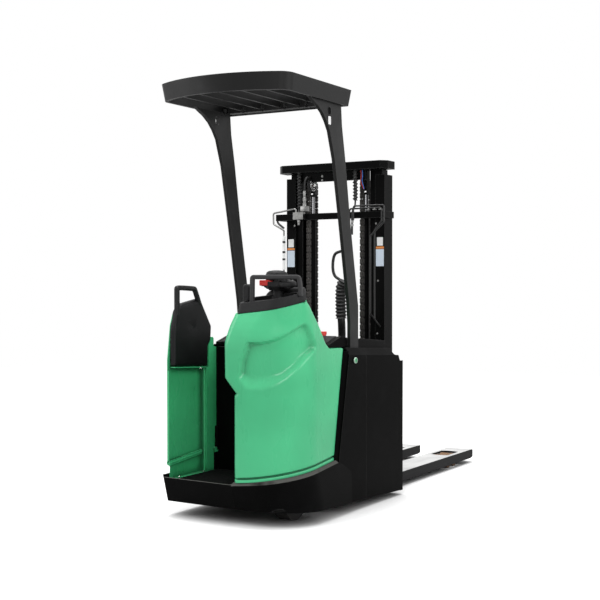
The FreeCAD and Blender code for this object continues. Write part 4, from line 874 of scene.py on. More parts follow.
# %% Skins along a line
def skin_along(mesh_code, line, radius, sides=12):
    """A round skin along a line; radius is a number or a function of (distance, angle)."""
    size = radius if callable(radius) else lambda distance, angle: radius
    axis = (line[1] - line[0]).normalized()
    across = axis.orthogonal().normalized()
    rings, distance = [], 0.0
    for k, point in enumerate(line):
        ahead = (line[min(k + 1, len(line) - 1)] - line[max(k - 1, 0)]).normalized()
        across = (across - ahead * across.dot(ahead)).normalized()
        if k:
            distance += (point - line[k - 1]).length
        ring = []
        for side in range(sides):
            angle = 2 * math.pi * side / sides
            out = across * math.cos(angle) + ahead.cross(across) * math.sin(angle)
            ring.append(mesh_code.verts.new(point + out * size(distance, angle)))
        rings.append(ring)
    joined(mesh_code, rings)


def wound(core, guard, pitch):
    """Radius of a hose inside a spiral guard: a ridge that climbs once round in each pitch."""
    return lambda distance, angle: core + guard * max(
        0.0, math.cos(angle - 2 * math.pi * distance / pitch))


def ribbed(core, rib, pitch):
    """Radius of a corrugated sleeve: ridges straight round it."""
    return lambda distance, angle: core + rib * (0.5 + 0.5 * math.cos(
        2 * math.pi * distance / pitch))


def square_bar(half, softness=4):
    """Radius, by angle, of a square bar with rounded corners."""
    def radius(distance, angle):
        return half / (abs(math.cos(angle + math.pi / 4)) ** softness
                       + abs(math.sin(angle + math.pi / 4)) ** softness) ** (1 / softness)
    return radius


print("a square bar's corners reach", round(square_bar(1)(0, 0), 2), "times its half width")

# %% [markdown]
# Many small pieces are just a few of these shapes together. The next function takes each shape
# as its maker and what the maker is fed, so that such a piece reads as a list of its parts.

# %% A piece assembled from shapes
def assembled(name, finish, body, *shapes, **how):
    mesh_code = bmesh.new()
    for maker, *fed in shapes:
        maker(mesh_code, *fed)
    return made_piece(name, mesh_code, finish, body, **how)


print("a piece can now be written as a list of shapes")

# %% [markdown]
# ## The back pad
# The operator leans against a moulded foam pad with a grained skin. It is crowned: the middle
# stands proud and the skin rolls over into the edge. Two outlines describe it, one on its plate
# and a smaller one on the crown. Both get the same rounded corners, and so the same number of
# points.

# %% Outlines of the pad
# outlines on the plate and on the crown (y, z in mm)
PAD_BACK_LINE = ((-1174, 782), (-874, 766), (-869, 880), (-843, 910), (-839, 984), (-926, 1114),
                 (-938, 1133), (-1116, 1104), (-1150, 1066), (-1172, 970))
PAD_FACE_LINE = ((-1168, 786), (-878, 770), (-873, 878), (-847, 907), (-842, 980), (-929, 1106),
                 (-943, 1115), (-1122, 1085), (-1154, 1057), (-1165, 969))
PAD_CORNER = 10


def soft_corners(line, reach):
    """Round each corner of a closed outline over the same short reach."""
    curve = []
    for (a, b), (c, d), (e, f) in zip(line[-1:] + line[:-1], line, line[1:] + line[:1]):
        back = min(0.45, reach / math.hypot(a - c, b - d))
        on = min(0.45, reach / math.hypot(e - c, f - d))
        start, end = (c + (a - c) * back, d + (b - d) * back), (c + (e - c) * on, d + (f - d) * on)
        for step in range(7):
            t = step / 6
            curve.append(tuple((1 - t) ** 2 * p + 2 * t * (1 - t) * q + t * t * r
                               for p, q, r in zip(start, (c, d), end)))
    return curve


print("points round the pad:", len(soft_corners(PAD_BACK_LINE, PAD_CORNER)))

# %% [markdown]
# Instead of a cloth simulation the crown is built from rings: the outline is drawn in step by
# step while its height follows a quarter round, which gives the tight, full shape of skin that
# was foamed in a mould. A dimple takes the screw in the middle.

# %% Pad of moulded foam
PAD_BACK_X, PAD_FACE_X = -385, -351
# how far from the plate's outline to the crown's, how far out, and how much of its size
PAD_ROWS = ((0, 0, 0.985), (0, 0.15, 1), (0.12, 0.36, 1), (0.3, 0.55, 1), (0.62, 0.72, 1),
            (0.88, 0.81, 1), (1, 0.87, 0.994), (1, 0.90, 0.982), (1, 0.925, 0.96),
            (1, 0.945, 0.9), (1, 0.965, 0.7), (1, 0.98, 0.5), (1, 0.992, 0.28), (1, 1, 0.1))
DIMPLE_Y, DIMPLE_Z, DIMPLE_WIDTH, DIMPLE_DEPTH = -1010, 980, 13, 9.0


def foam_crown(shape):
    back, face = (soft_corners(line, PAD_CORNER) for line in (PAD_BACK_LINE, PAD_FACE_LINE))
    rings = []
    for blend, rise, share in PAD_ROWS:
        line = [(a + blend * (c - a), b + blend * (d - b)) for (a, b), (c, d) in zip(back, face)]
        mid_y = sum(y for y, _ in line) / len(line)
        mid_z = sum(z for _, z in line) / len(line)
        ring = []
        for y, z in line:
            y, z = mid_y + (y - mid_y) * share, mid_z + (z - mid_z) * share
            dimple = 0.0
            if rise > 0.9:
                away = math.hypot(y - DIMPLE_Y, z - DIMPLE_Z) / DIMPLE_WIDTH
                dimple = DIMPLE_DEPTH * math.exp(-away ** 2)
            x = PAD_BACK_X + rise * (PAD_FACE_X - PAD_BACK_X) - dimple
            ring.append(shape.verts.new(mm(x, y, z)))
        rings.append(ring)
    joined(shape, rings)


pad = assembled("foam_back_pad", PAD_SKIN, "chassis", (foam_crown,), crisp=60, slot="soft_black",
                stands_for="back_pad")
print("pad face stands", PAD_FACE_X - PAD_BACK_X, "mm off its plate")

# %% [markdown]
# ## The handle over the pad
# The operator steps in holding a D-shaped handle. Its bar has a soft square section, so the skin
# that runs along the bent line takes a radius that grows towards the four corners. Steering
# points set close together pull the curve into each corner.

# %% Handle of soft square bar
HANDLE_LINE = ((-1141, 1046), (-1141, 1120), (-1141, 1176), (-1141, 1188), (-1128, 1189),
               (-1060, 1187), (-1002, 1184), (-987, 1183), (-978, 1170), (-962, 1140), (-940, 1098))
handle_line = bent([(-363, y, z) for y, z in HANDLE_LINE])
assembled("bar_handle", PLASTIC_DARK, "chassis", (skin_along, handle_line, square_bar(0.0125), 24),
          crisp=60, slot="plastic_dark", stands_for="pad_handle")
print("handle bent from", len(handle_line), "rings")

# %% [markdown]
# ## Small hardware
# Screws and bolts tell the eye how big a machine is. Each is turned from a few radii: a washer, a
# domed or six-sided head and a drive hole. Six sides instead of twenty give a hexagon for free.

# %% Screws and bolts
FLANGE_BOLTS = ((271, 1556), (284, 1228), (279, 925))
RAIL_BACK = box_mm("outer_rails")[0].y


def screw(mesh_code, place, direction, radius):
    """Pan head screw on a washer."""
    turned(mesh_code, [(radius * 1.5, 0), (radius * 1.5, radius * 0.2), (radius, radius * 0.22),
                       (radius * 0.96, radius * 0.6), (radius * 0.7, radius * 0.85),
                       (radius * 0.42, radius * 0.88), (radius * 0.4, radius * 0.45)],
           place, direction, 16)


def hexagon(mesh_code, place, direction, radius):
    """Six-sided bolt head on a round washer."""
    turned(mesh_code, [(radius * 1.35, 0), (radius * 1.35, radius * 0.2)], place, direction, 18)
    turned(mesh_code, [(radius, radius * 0.15), (radius, radius * 0.75),
                       (radius * 0.82, radius * 0.9)], place, direction, 6)


def hardware(name, maker, finish, body, radius, spots):
    """One piece with the same screw at several spots; each spot is (x, y, z, direction)."""
    assembled(name, finish, body, *((maker, mm(x, y, z), direction, radius / 1000)
                                    for x, y, z, direction in spots))
    print(name, len(spots))


hardware("ledge_screws", screw, BRIGHT_SCREW, "chassis", 4.5,
         [(-352, -945, 757, RIGHT), (-360, -1128, 196, UP), (-360, -905, 196, UP)])
hardware("pad_screw", screw, BRIGHT_SCREW, "chassis", 3.4, [(-360, -1010, 980, RIGHT)])
hardware("mast_flange_bolts", hexagon, ZINC, "chassis", 4.5,
         [(side * x, RAIL_BACK, z, BACK) for side in (1, -1) for x, z in FLANGE_BOLTS])
hardware("head_plate_bolts", hexagon, ZINC, "inner_mast", 5,
         [(x, -122, z, BACK) for x in (-65, 65) for z in (1839, 1816)])
hardware("hood_screws", screw, BRIGHT_SCREW, "battery_lid", 4,
         [(-318, -440, 843, UP), (318, -440, 843, UP)])

# %% [markdown]
# ## Operator's floor and body trim
# The rubber mat is ribbed so that wet shoes grip. The ribs run lengthways and stop short of the
# tub's slanting rear wall.

# %% Mat ribs
RIB_COUNT, RIB_PITCH, RIB_HALF, RIB_HEIGHT = 27, 13, 3, 0.0028
RIB_CREST, RIB_ROUND = 0.1985, 0.0012
REAR_SLANT = 26 / 358
mat_low, mat_high = box_mm("platform_mat")
MAT_LEFT, MAT_TOP, RIB_FRONT = mat_low.x, mat_high.z, mat_high.y - 6


def mat_ribs(ribs):
    for step in range(RIB_COUNT):
        x = MAT_LEFT + 8 + step * RIB_PITCH
        rear = -1178 - (x - MAT_LEFT) * REAR_SLANT
        near, far = x - RIB_HALF, x + RIB_HALF
        slab(ribs, [mm(near, rear, MAT_TOP), mm(far, rear, MAT_TOP), mm(far, RIB_FRONT, MAT_TOP),
                    mm(near, RIB_FRONT, MAT_TOP)], UP, RIB_HEIGHT)
    upper = [edge for edge in ribs.edges if all(v.co.z > RIB_CREST for v in edge.verts)]
    bmesh.ops.bevel(ribs, geom=upper, offset=RIB_ROUND, segments=2, affect="EDGES")


assembled("mat_ribs", RUBBER, "chassis", (mat_ribs,), slot="rubber_mat")
print("mat ribs:", RIB_COUNT)

# %% [markdown]
# The plate that climbs from the floor to the battery hood is slatted across, in two panels with a
# gap between them. Each slat is a thin plate that leans with the ramp.

# %% Slats on the ramp
SLAT_COUNT, SLAT_HALF, SLAT_RISE = 17, 0.0022, 0.003
RAMP_SLOPE = math.atan2(39, 136)


def ramp_slats(slats):
    along = Vector((0, math.cos(RAMP_SLOPE), math.sin(RAMP_SLOPE)))
    up = Vector((0, -math.sin(RAMP_SLOPE), math.cos(RAMP_SLOPE)))
    for step in range(SLAT_COUNT):
        t = (step + 0.5) / SLAT_COUNT
        middle = mm(0, -781 + t * 126, 893.5 + t * 37.6)
        for low_x, high_x in ((-330, -40), (-20, 320)):
            slab(slats, [middle + mm(x, 0, 0) + along * (way * SLAT_HALF) for x, way in
                         ((low_x, -1), (high_x, -1), (high_x, 1), (low_x, 1))], up, SLAT_RISE)


assembled("ramp_slats", PLASTIC_GREY, "chassis", (ramp_slats,), slot="plastic_dark")
print("ramp slopes", round(math.degrees(RAMP_SLOPE)), "degrees")

# %% [markdown]
# Where two shells meet there is always a gap. A rubber seal fills the joint between the green
# cover and the black side cover, and dark corner strips close the foot of the left panel.

# %% Seals that close the body joints
def cover_seal(seal):
    rows = []
    for z, front in ((262, -781), (652, -714), (737, -699), (855, -676)):
        rows.append([mm(360, front - 12, z), mm(379.5, front - 12, z), mm(390, front - 1, z),
                     mm(393, front + 26, z), mm(360, front + 26, z)])
    joined(seal, [[seal.verts.new(point) for point in row] for row in rows])


seal = assembled("cover_seal", DEEP_BLACK, "chassis", (cover_seal,), slot="body_black")
assembled("left_corner_strip", BODY_BLACK, "chassis",
          (block, mm(-390, -816, 192), mm(-349, -787, 306), 0.003),
          (block, mm(-374, -799, 300), mm(-345, -787, 430), 0.002), slot="body_black")
print("cover seal has", len(seal.data.polygons), "faces")

# %% [markdown]
# The left panel is stiffened by a rib rolled across it and by a narrow bead at its folded edge.
# Both are rounds that lie half in the sheet.

# %% Rolled beads of the left panel
BEADS = ((0.0125, (-391, -1179, 273), (-391, -888, 300)),
         (0.0125, (-364, -816, 304), (-364, -792, 305)),
         (0.0045, (-369, -887, 198), (-369, -887, 752)))


def bead(mesh_code, radius, start, end):
    middle = [0.5 * (a + b) for a, b in zip(start, end)]
    skin_along(mesh_code, bent((start, middle, end), 0.02), radius, 16)


assembled("panel_beads", PANEL_GREEN, "chassis", *((bead, *spec) for spec in BEADS), crisp=60,
          slot="panel_green")
print("beads rolled:", len(BEADS))

# %% [markdown]
# A lock plug sits in the side cover: a green core in a pale, rounded rim.

# %% Lock plug
plug_low, plug_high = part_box("lock_plug")
PLUG_SPOT = (plug_low + plug_high) / 2 + mm(0.5, 0, 0)
assembled("plug_core", GREEN_CORE, "chassis",
          (turned, [(0.0122, 0), (0.0122, 0.0045), (0.0105, 0.0058), (0.004, 0.0066)],
           PLUG_SPOT, RIGHT, 24))
assembled("plug_rim", PALE_RING, "chassis",
          (turned, [(0.0160, 0), (0.0160, 0.0042), (0.0150, 0.0056), (0.0132, 0.0058),
                    (0.0123, 0.0040)], PLUG_SPOT, RIGHT, 28),
          slot="plug_ring", stands_for="lock_plug")
print("plug at height", round(PLUG_SPOT.z * 1000), "mm")

# %% [markdown]
# ## Console and steering head
# The steering head turns on a column in the middle of the console bowl. Two grips curve out from
# its hub like a butterfly, the left one carries the red travel switch, and rocker switches sit
# under each thumb. The hub is turned; the grips are skins along a curved line whose radius swells
# in the middle, so that they look moulded and not bent from pipe.

# %% Grips and hub cap of the steering head
HEAD_TURN = Matrix.Rotation(math.radians(-28), 3, "Z")
COLUMN = (200, -1045)
GRIP_LINE = ((32, -6, 1202), (58, -20, 1202), (84, -22, 1204), (100, -6, 1206),
             (101, 20, 1207), (84, 40, 1209), (52, 44, 1211), (24, 34, 1226))


def head_point(x, y, z):
    """A point drawn in the steering head's own directions, in metres."""
    spot = HEAD_TURN @ Vector((x, y, 0))
    return mm(COLUMN[0] + spot.x, COLUMN[1] + spot.y, z)


def grip(mesh_code, side):
    line = smooth_line([head_point(side * x, y, z) for x, y, z in GRIP_LINE], 0.005)
    whole = sum((b - a).length for a, b in zip(line, line[1:]))

    def swell(distance, angle):
        belly = 0.0055 * math.sin(math.pi * distance / whole) ** 2
        return 0.013 + belly + 0.0006 * math.cos(6 * angle)
    skin_along(mesh_code, line, swell, 20)


grips = assembled("steering_grips", PLASTIC_DARK, "steering_head", (grip, -1), (grip, 1),
                  (turned, [(0.052, 0), (0.055, 0.004), (0.055, 0.030), (0.050, 0.042),
                            (0.038, 0.049), (0.012, 0.052)], head_point(-18, 0, 1226), UP, 40),
                  crisp=45, slot="plastic_dark")
print("grips and hub:", len(grips.data.polygons), "faces")

# %% [markdown]
# The red travel switch is a rocker block set across the left grip. The smaller switches are
# rounded plates that lean a little, each towards its thumb.

# %% Switches on the steering head
ROCKERS = ((44, -14, 1), (66, -12, -1), (24, -24, 1))


def travel_switch(switch):
    block(switch, mm(-34, -15, -14), mm(34, 15, 14), 0.005)
    bmesh.ops.transform(switch, verts=switch.verts,
                        matrix=Matrix.Translation(mm(153, -1084, 1214))
                        @ Matrix.Rotation(math.radians(22), 4, "Z"))


def rocker(mesh_code, x, y, tilt):
    foot = [head_point(x + u, y + v, 1224) for u, v in rounded(16, 22, 3)]
    slab(mesh_code, foot, (0.12 * tilt, 0.1, 1), 0.007)


assembled("travel_switch", RED_PLASTIC, "steering_head", (travel_switch,), slot="red_button")
assembled("rocker_switches", PLASTIC_GREY, "steering_head", *((rocker, *spec) for spec in ROCKERS))
print("steering head dressed, rockers:", len(ROCKERS))

# %% [markdown]
# In front of the steering head the console rises in a cowl that shields the display. It is one
# wall that follows the rim round the front right corner; its height swells in the middle and it
# leans inwards, so it is built as rings: a thin rounded section carried along the rim.

# %% Console cowl and key switch
COWL_PATH = ((92, -1000), (140, -996), (190, -994), (240, -994), (290, -998), (334, -1008),
             (357, -1032), (361, -1066), (360, -1104))
# across the wall (m), share of its height
COWL_SECTION = ((0.000, 0.0), (0.001, 0.6), (0.005, 0.9), (0.011, 1.0), (0.018, 0.92),
                (0.026, 0.6), (0.034, 0.25), (0.040, 0.0))
COWL_FOOT, COWL_LOW, COWL_SWELL = 0.035, 0.008, 0.023


def cowl(wall):
    line = bent([(x, y, 0) for x, y in COWL_PATH], 0.009)
    rings = []
    for k, point in enumerate(line):
        t = k / (len(line) - 1)
        inward = (Vector(mm(215, -1085, 0)) - point).normalized()
        foot = head_height(point.x * 1000, point.y * 1000) / 1000 + COWL_FOOT
        rise = COWL_LOW + COWL_SWELL * min(1.0, t * 14, (1 - t) * 9) ** 0.7
        rings.append([wall.verts.new(point + inward * across + Vector((0, 0, foot + rise * up)))
                      for across, up in COWL_SECTION])
    joined(wall, rings)


shield = assembled("console_cowl", PLASTIC_DARK, "chassis", (cowl,), crisp=55,
                   slot="plastic_dark")
assembled("key_switch", ZINC, "chassis",
          (turned, [(0.014, 0), (0.014, 0.004), (0.011, 0.006), (0.009, 0.006)],
           mm(110, -1050, 1098), UP, 24),
          (block, mm(104, -1051.5, 1103), mm(116, -1048.5, 1118), 0.001))
print("console cowl:", len(shield.data.polygons), "faces")

# %% [markdown]
# ## The hoop over the console
# A square bar bent to a hoop guards the operator's fingers. It is the same soft square section as
# the handle over the pad, a little slimmer.

# %% Hoop of square bar
HOOP_LINE = ((112, -1152, 1112), (112, -1151, 1180), (112, -1150, 1230), (113, -1150, 1243),
             (126, -1147, 1243), (230, -1121, 1243), (332, -1095, 1243), (346, -1092, 1242),
             (350, -1091, 1230), (357, -1092, 1190), (360, -1094, 1150))
assembled("guard_hoop", PLASTIC_GREY, "chassis",
          (skin_along, bent(HOOP_LINE), square_bar(0.0112), 24), crisp=60, slot="plastic_dark",
          stands_for="grab_bar")
print("hoop bent through", len(HOOP_LINE), "steering points")

# %% [markdown]
# ## Lift chains
# A leaf chain is a stack of figure-eight plates on pins. Drawing every plate is cheap when one
# link is a function: two outer plates, a middle pair half a pitch further on, and a pin.

# %% Links
CHAIN_PITCH = 19.05
PLATE_END, PLATE_WAIST = 0.0078, 0.0056
PIN_PROFILE = [(0.0034, -0.0142), (0.0034, 0.0142)]
# low and high x of the plates in every other link (m)
WIDE_PLATES = ((-0.0125, -0.0085), (0.0085, 0.0125), (-0.0035, 0.0035))
NARROW_PLATES = ((-0.0080, -0.0045), (0.0045, 0.0080))


def figure_eight(length, end, waist):
    """Outline of a chain plate, centred, long way up."""
    points = []
    for sign, start in ((1, 0), (-1, 180)):
        for step in range(7):
            angle = math.radians(start + 180 * step / 6)
            points.append((end * math.cos(angle), sign * length / 2 + end * math.sin(angle)))
        points.append((-sign * waist, 0))
    return points


def plate_at(mesh_code, centre, along, across, x_low, x_high):
    """One plate, flat across X, with its long way along a direction."""
    outline = [centre + across * u + along * v
               for u, v in figure_eight(CHAIN_PITCH / 1000, PLATE_END, PLATE_WAIST)]
    slab(mesh_code, [point + Vector((x_low, 0, 0)) for point in outline], RIGHT, x_high - x_low)


def strand(mesh_code, line, x):
    """Leaf chain that follows evenly spaced points, one pin at each."""
    aside = Vector((x, 0, 0))
    for k in range(len(line) - 1):
        centre = (line[k] + line[k + 1]) / 2
        along = (line[k + 1] - line[k]).normalized()
        across = Vector((0, along.z, -along.y))
        for low, high in NARROW_PLATES if k % 2 else WIDE_PLATES:
            plate_at(mesh_code, centre + aside, along, across, low, high)
        turned(mesh_code, PIN_PROFILE, line[k] + aside, RIGHT, 8)


print("chain plate outline:", len(figure_eight(1, 1, 1)), "points")

# %% [markdown]
# The rear strands run from the frame to the inner mast, the front ones from the inner mast to the
# carriage; they ride on no body. The short stretch over the sheaves rides on the inner mast alone.

# %% Strands
STRAND_X, LAST_PIN = 0.178, 2
sheave_low, sheave_high = box_mm("chain_sheaves")
SHEAVE_RADIUS = (sheave_high.z - sheave_low.z) / 2 + 6
SHEAVE_Y = (sheave_low.y + sheave_high.y) / 2
SHEAVE_Z = (sheave_low.z + sheave_high.z) / 2


def upright(node):
    """Pins from just above the foot of a CAD chain up to the sheave's axle."""
    low_corner, high_corner = box_mm(node)
    y, low = (low_corner.y + high_corner.y) / 2, low_corner.z + LAST_PIN
    count = round((SHEAVE_Z - low) / CHAIN_PITCH)
    return [mm(0, y, low + (SHEAVE_Z - low) * k / count) for k in range(count + 1)]


def over_sheave():
    count = round(math.pi * SHEAVE_RADIUS / CHAIN_PITCH)
    return [mm(0, SHEAVE_Y - SHEAVE_RADIUS * math.cos(math.pi * k / count),
               SHEAVE_Z + SHEAVE_RADIUS * math.sin(math.pi * k / count)) for k in range(count + 1)]


def chain_piece(name, line, body, stands_for):
    print(name, "has", len(line) - 1, "links a side")
    return assembled(name, CHAIN_STEEL, body, *((strand, line, x) for x in (-STRAND_X, STRAND_X)),
                     slot="chain_steel", stands_for=stands_for)


rear_links = chain_piece("rear_chain_links", upright("chains_rear"), None, "chains_rear")
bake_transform(rear_links)
front_links = chain_piece("front_chain_links", upright("chains_front"), None, "chains_front")
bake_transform(front_links)
chain_piece("sheave_chain_links", over_sheave(), "inner_mast", "chain_wraps")

# %% [markdown]
# ## Hoses on the mast
# Oil reaches the carriage through hoses that climb the mast, loop over a small wheel and come
# down inside. The outer ones wear a plastic spiral against chafing: a ridge that climbs the hose
# like a thread. It is a radius that depends on distance and angle, so no helix has to be swept.

# %% Hoses and the cable with its sleeve
# steering points (mm), spacing of the rings, radius (m), sides
SPIRALS = [(((x, -132, low), (x + 2, -132, low + 60), (x - 1, -132, low + 120), (x, -132, 1868)),
            0.0028, wound(0.0095, 0.0065, 0.0190), 18) for x, low in ((-214, 1650), (158, 1690))]
SHORT_HOSES = (
    (((158, -132, 1700), (160, -134, 1660), (157, -156, 1640), (157, -168, 1622),
      (156, -168, 1590)), 0.006, 0.0052, 12),
    (((-214, -132, 1656), (-214, -140, 1640), (-204, -160, 1634), (-196, -168, 1628)),
     0.006, 0.006, 12),
    (((-345, -168, 1585), (-343, -169, 1572), (-322, -169, 1556), (-300, -168, 1540)),
     0.006, 0.0062, 12))
CABLE_AND_SLEEVE = (
    (((128, -150, 1420), (96, -150, 1402), (62, -150, 1396), (33, -150, 1385), (21, -150, 1345),
      (20, -150, 1290), (34, -150, 1252), (66, -150, 1236), (92, -150, 1214)), 0.006, 0.0085, 14),
    (((92, -150, 1226), (84, -150, 1212), (74, -150, 1190), (72, -150, 1110), (76, -150, 1010)),
     0.0035, ribbed(0.026, 0.007, 0.020), 18),
    (((76, -150, 1012), (78, -149, 990), (66, -124, 948), (56, -103, 905), (54, -103, 850)),
     0.006, 0.022, 18))
CLIMBING_HOSE = (
    (((-164, -158, 1752), (-164, -160, 1790), (-160, -154, 1830), (-150, -132, 1840),
      (-146, -104, 1842), (-146, -70, 1836), (-146, -60, 1800), (-146, -60, 1740)),
     0.005, 0.0058, 12),)


def hose_piece(name, runs, body, finish=HOSE_RUBBER):
    """One piece of several hoses, each skinned along its own smooth line."""
    return assembled(name, finish, body, *((skin_along, bent(points, spacing), radius, sides)
                                           for points, spacing, radius, sides in runs), crisp=50)


spirals = hose_piece("spiral_guarded_hoses", SPIRALS, None)
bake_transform(spirals)
hose_piece("short_hoses", SHORT_HOSES, "chassis")
hose_piece("cable_loop_and_sleeve", CABLE_AND_SLEEVE, "chassis")
print("hoses run:", len(SPIRALS) + len(SHORT_HOSES) + len(CABLE_AND_SLEEVE))

# %% [markdown]
# The hose that climbs on the left goes over a small dished wheel. Bright rings show its turned
# edges and a hexagon nut holds it.

# %% Hose wheel and the hose over it
WHEEL_Y, WHEEL_Z = -104, 1792


def wheel_ring(mesh_code, radius):
    turns = [math.radians(9 * step) for step in range(41)]
    skin_along(mesh_code, [mm(-135.5, WHEEL_Y, WHEEL_Z)
                           + Vector((0, radius * math.cos(turn), radius * math.sin(turn)))
                           for turn in turns], 0.0011, 8)


assembled("hose_wheel", PLASTIC_GREY, "inner_mast",
          (turned, [(0.036, -0.010), (0.036, -0.008), (0.030, -0.004), (0.030, 0.004),
                    (0.036, 0.008), (0.036, 0.010), (0.024, 0.0105), (0.023, 0.007),
                    (0.012, 0.007)], mm(-146, WHEEL_Y, WHEEL_Z), RIGHT, 40))
assembled("hose_wheel_rings", BRIGHT_SCREW, "inner_mast", (wheel_ring, 0.0335),
          (wheel_ring, 0.0215))
assembled("hose_wheel_hub", BRIGHT_SCREW, "inner_mast",
          (turned, [(0.011, 0), (0.011, 0.008), (0.0085, 0.0085), (0.0085, 0.014),
                    (0.006, 0.015)], mm(-139, WHEEL_Y, WHEEL_Z), RIGHT, 6))
climbing = hose_piece("climbing_hose", CLIMBING_HOSE, None)
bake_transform(climbing)
print("hose wheel at height", WHEEL_Z, "mm")

# %% [markdown]
# Crimped steel ends join the hoses to the valve block on the cross bar. Each is turned: a hexagon
# nut, a crimped collar and a neck. Three clamp plates with bolts hold the pipes on the right.

# %% Crimped fittings, stub, sleeve and bands
SMALL_NUT = [(0.0085, 0), (0.0085, 0.012), (0.0065, 0.014)]
# turned profile (m), spot (mm), sides
FITTINGS = (
    ([(0.0105, 0), (0.0105, 0.020), (0.008, 0.023), (0.008, 0.034)], (-164, -160, 1664), 6),
    ([(0.0105, 0), (0.0105, 0.018), (0.008, 0.021), (0.0072, 0.050), (0.0078, 0.053),
      (0.0078, 0.060)], (-164, -160, 1696), 20),
    ([(0.009, 0), (0.009, 0.014), (0.0068, 0.016)], (-164, -160, 1738), 6),
    ([(0.0085, 0), (0.0085, -0.014), (0.006, -0.016), (0.006, -0.03)], (-196, -172, 1586), 6),
    (SMALL_NUT, (157, -168, 1560), 6), (SMALL_NUT, (157, -168, 1540), 6))


def pipe_clamp(mesh_code, x):
    block(mesh_code, mm(x - 9, -176, 1628), mm(x + 9, -160, 1634), 0.0015)
    turned(mesh_code, [(0.006, 0), (0.006, 0.005)], mm(x, -168, 1634), UP, 6)


assembled("hose_fittings", ZINC, "chassis",
          *((turned, profile, mm(*spot), UP, sides) for profile, spot, sides in FITTINGS),
          (block, mm(-186, -172, 1634), mm(-136, -150, 1666), 0.003),
          *((pipe_clamp, x) for x in (262, 300, 338)))
assembled("hose_stub", HOSE_RUBBER, "chassis",
          (skin_along, [mm(156, -168, z) for z in (1592, 1560, 1520, 1492)], 0.0062, 12),
          crisp=50)
assembled("pale_pipe_sleeve", WHITE_FILM, "chassis",
          (turned, [(0.0085, 0), (0.0085, 0.2)], mm(-300, -168, 1294), UP, 16))
assembled("pipe_sleeve_bands", HOSE_RUBBER, "chassis",
          *((turned, [(0.0092, 0), (0.0092, 0.012)], mm(-300, -168, z), UP, 16)
            for z in (1350, 1392, 1452)))
print("fittings:", len(FITTINGS))

# %% [markdown]
# Two thin leads, red and blue, come down side by side behind the right sheave and meet in one
# clip. Their slight wave is only in the steering points.

# %% Leads
LEADS = (("red_lead", RED_WIRE, 0), ("blue_lead", BLUE_WIRE, 9))


def lead_piece(name, finish, aside):
    run = ((192 + aside, -128, 1862), (196 + aside, -130, 1830), (190 + aside, -130, 1800),
           (200 + aside, -129, 1770), (212, -126, 1752))
    hose_piece(name, ((run, 0.006, 0.0022, 8),), "inner_mast", finish)


for lead in LEADS:
    lead_piece(*lead)
print("leads run:", len(LEADS))

# %% [markdown]
# ## Bare plates
# The uprights carry film plates with an orange band across the top. Here they are blank: the
# place is kept and finished, and nothing is printed on it.

# %% Plates on the uprights and the right post
PLATE_THICK = 0.0006
# word in its name, finish, height, width, depth (mm)
UPRIGHT_PLATES = (("top", WHITE_FILM, 1453, 38, 48), ("band", ORANGE_FILM, 1418, 50, 12),
                  ("body", PALE_FILM, 1360, 50, 98))

for side, x in (("left", -296), ("right", 296)):
    for word, finish, z, wide, high in UPRIGHT_PLATES:
        outline = [mm(x, RAIL_BACK, z) + Vector((u, 0, v))
                   for u, v in rounded(wide / 1000, high / 1000, 0.002)]
        assembled(f"{side}_plate_{word}", finish, "chassis", (slab, outline, BACK, PLATE_THICK))
badge = [mm(360, -801, 2052) + Vector((0, u, v)) for u, v in rounded(0.026, 0.042, 0.004)]
assembled("post_plate", WHITE_FILM, "chassis", (slab, badge, RIGHT, PLATE_THICK))
print("blank plates:", 2 * len(UPRIGHT_PLATES) + 1)

# %% [markdown]
# ## Guard pins and slot lining
# Short pins hold the slats of the overhead guard to the cross member. The slot near the top of
# each post is a lifting eye with a bare, paler edge.

# %% Pins under the slats and edges of the lifting eyes
PIN_X = (-290, -170, -51, 90, 222)
SLAT_PIN = [(0.009, 0), (0.009, -0.012), (0.006, -0.014), (0.006, -0.030)]
EYE_LONG, EYE_HIGH = 18.5, 22.5


def eye_edge(mesh_code, x):
    angles = [math.radians(angle) for angle in range(0, 361, 12)]
    line = [mm(x, -802 + math.cos(angle) * 0.99 * EYE_LONG, 2101 + math.sin(angle) * EYE_HIGH)
            for angle in angles]
    skin_along(mesh_code, line, 0.0012, 6)


assembled("slat_pins", GUARD_BLACK, "chassis",
          *((turned, SLAT_PIN, mm(x, -800, 2158), UP, 12) for x in PIN_X), slot="body_black")
assembled("lifting_eye_edges", PLASTIC_GREY, "chassis",
          *((eye_edge, x) for x in (-360, -340, 360, 340)))
print("guard pins:", len(PIN_X))

# %% [markdown]
# ## Studio
# The floor is plain and pale. The camera sees it as white, apart from a soft painted shadow close
# to the machine, where its glow is darkened; the machine itself only gets the plain light of a pale
# grey floor.

# %% Floor
FLOOR_HALF, FLOOR_Z, FLOOR_GLOW = 9, -0.001, 0.80


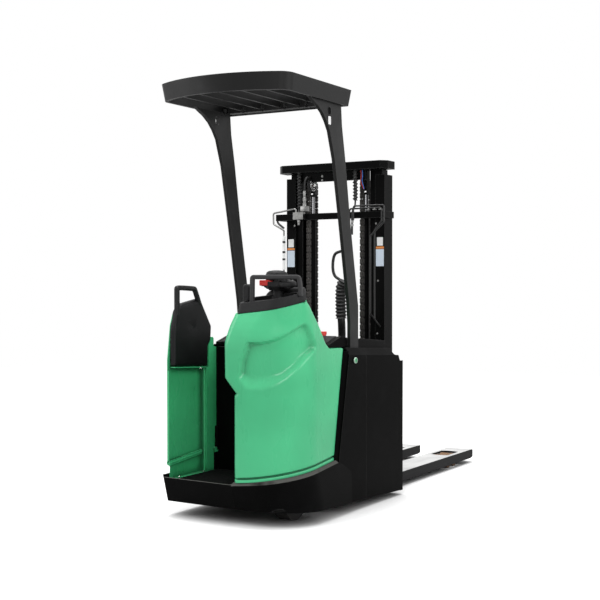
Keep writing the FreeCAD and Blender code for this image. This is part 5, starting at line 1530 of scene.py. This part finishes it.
def flat_floor():
    finish = Finish("floor_paint", (0.45, 0.45, 0.45), rough=0.9, specular_ior_level=0.0)
    finish.set("Base Color", finish.mixed(finish.noise(0.6, 2.0), (0.43, 0.43, 0.43),
                                          (0.47, 0.47, 0.47)))
    seen = finish.node("ShaderNodeLightPath", output="Is Camera Ray")
    # painted shadow: the floor's glow darkens close to the machine
    glow_with_painted_shadow = seen * finish.open_air(0.7, alone=False).step(0.15, 0.95)
    finish.set("Emission Color", finish.mixed(glow_with_painted_shadow, (0, 0, 0), (1, 1, 1)))
    finish.set("Emission Strength", FLOOR_GLOW)
    mesh = bpy.data.meshes.new("floor")
    mesh.from_pydata([(x * FLOOR_HALF, y * FLOOR_HALF, FLOOR_Z)
                      for x, y in ((-1, -1), (1, -1), (1, 1), (-1, 1))], [], [(0, 1, 2, 3)])
    mesh.materials.append(finish.material)
    floor = bpy.data.objects.new("floor", mesh)
    scene.collection.objects.link(floor)
    print("floor of", 2 * FLOOR_HALF, "m laid")


flat_floor()

# %% [markdown]
# ## Surround and lamps
# The surround is white for the camera, for reflections and through clear parts; everything else
# receives a softer level, so colours stay as they are written.

# %% Surround
SOFT_LEVEL = 0.40


def surround():
    world = bpy.data.worlds.new("studio")
    scene.world = world
    world.use_nodes = True
    sky = Graph(world.node_tree)
    camera_ray, glossy_ray, clear_ray = (
        sky.node("ShaderNodeLightPath", output=ray)
        for ray in ("Is Camera Ray", "Is Glossy Ray", "Is Transmission Ray"))
    seen = camera_ray.most(glossy_ray).most(clear_ray)
    glow = sky.node("ShaderNodeBackground", {}, {
        "Color": (1, 1, 1), "Strength": SOFT_LEVEL + seen * (1 - SOFT_LEVEL)})
    sky.node("ShaderNodeOutputWorld", {}, {"Surface": glow})


surround()
print("surround lights the machine at", SOFT_LEVEL)

# %% [markdown]
# Four broad lamps shape the forms: a large one overhead, one beside the camera and one low on
# either side. The larger a lamp is, the softer the edge of the shadow it throws.

# %% Lamps
# place, what it points at, edge length (m), power (W)
LAMPS = {"overhead_lamp": ((-0.6, -0.6, 7.4), (0, 0, 0.8), 5.0, 830),
         "side_lamp": ((3.6, -4.6, 2.9), (0, -0.8, 0.8), 2.6, 100),
         "right_lamp": ((4.6, -0.6, 2.3), (0, -0.6, 0.8), 2.8, 74),
         "left_lamp": ((-3.4, -3.4, 2.4), (-0.2, -0.8, 0.8), 2.2, 40)}


def lamp(name, place, target, size, power):
    light = bpy.data.lights.new(name, "AREA")
    light.shape = "RECTANGLE"
    light.size = light.size_y = size
    light.energy = power
    holder = bpy.data.objects.new(name, light)
    scene.collection.objects.link(holder)
    holder.location = place
    aim = Vector(target) - Vector(place)
    holder.rotation_euler = aim.to_track_quat("-Z", "Y").to_euler()


for name, settings in LAMPS.items():
    lamp(name, *settings)
scene.view_settings.view_transform = "Standard"
print("studio lit by", len(LAMPS), "lamps")

# %% [markdown] The dressed model has to stay inside the box that CAD gave the machine.
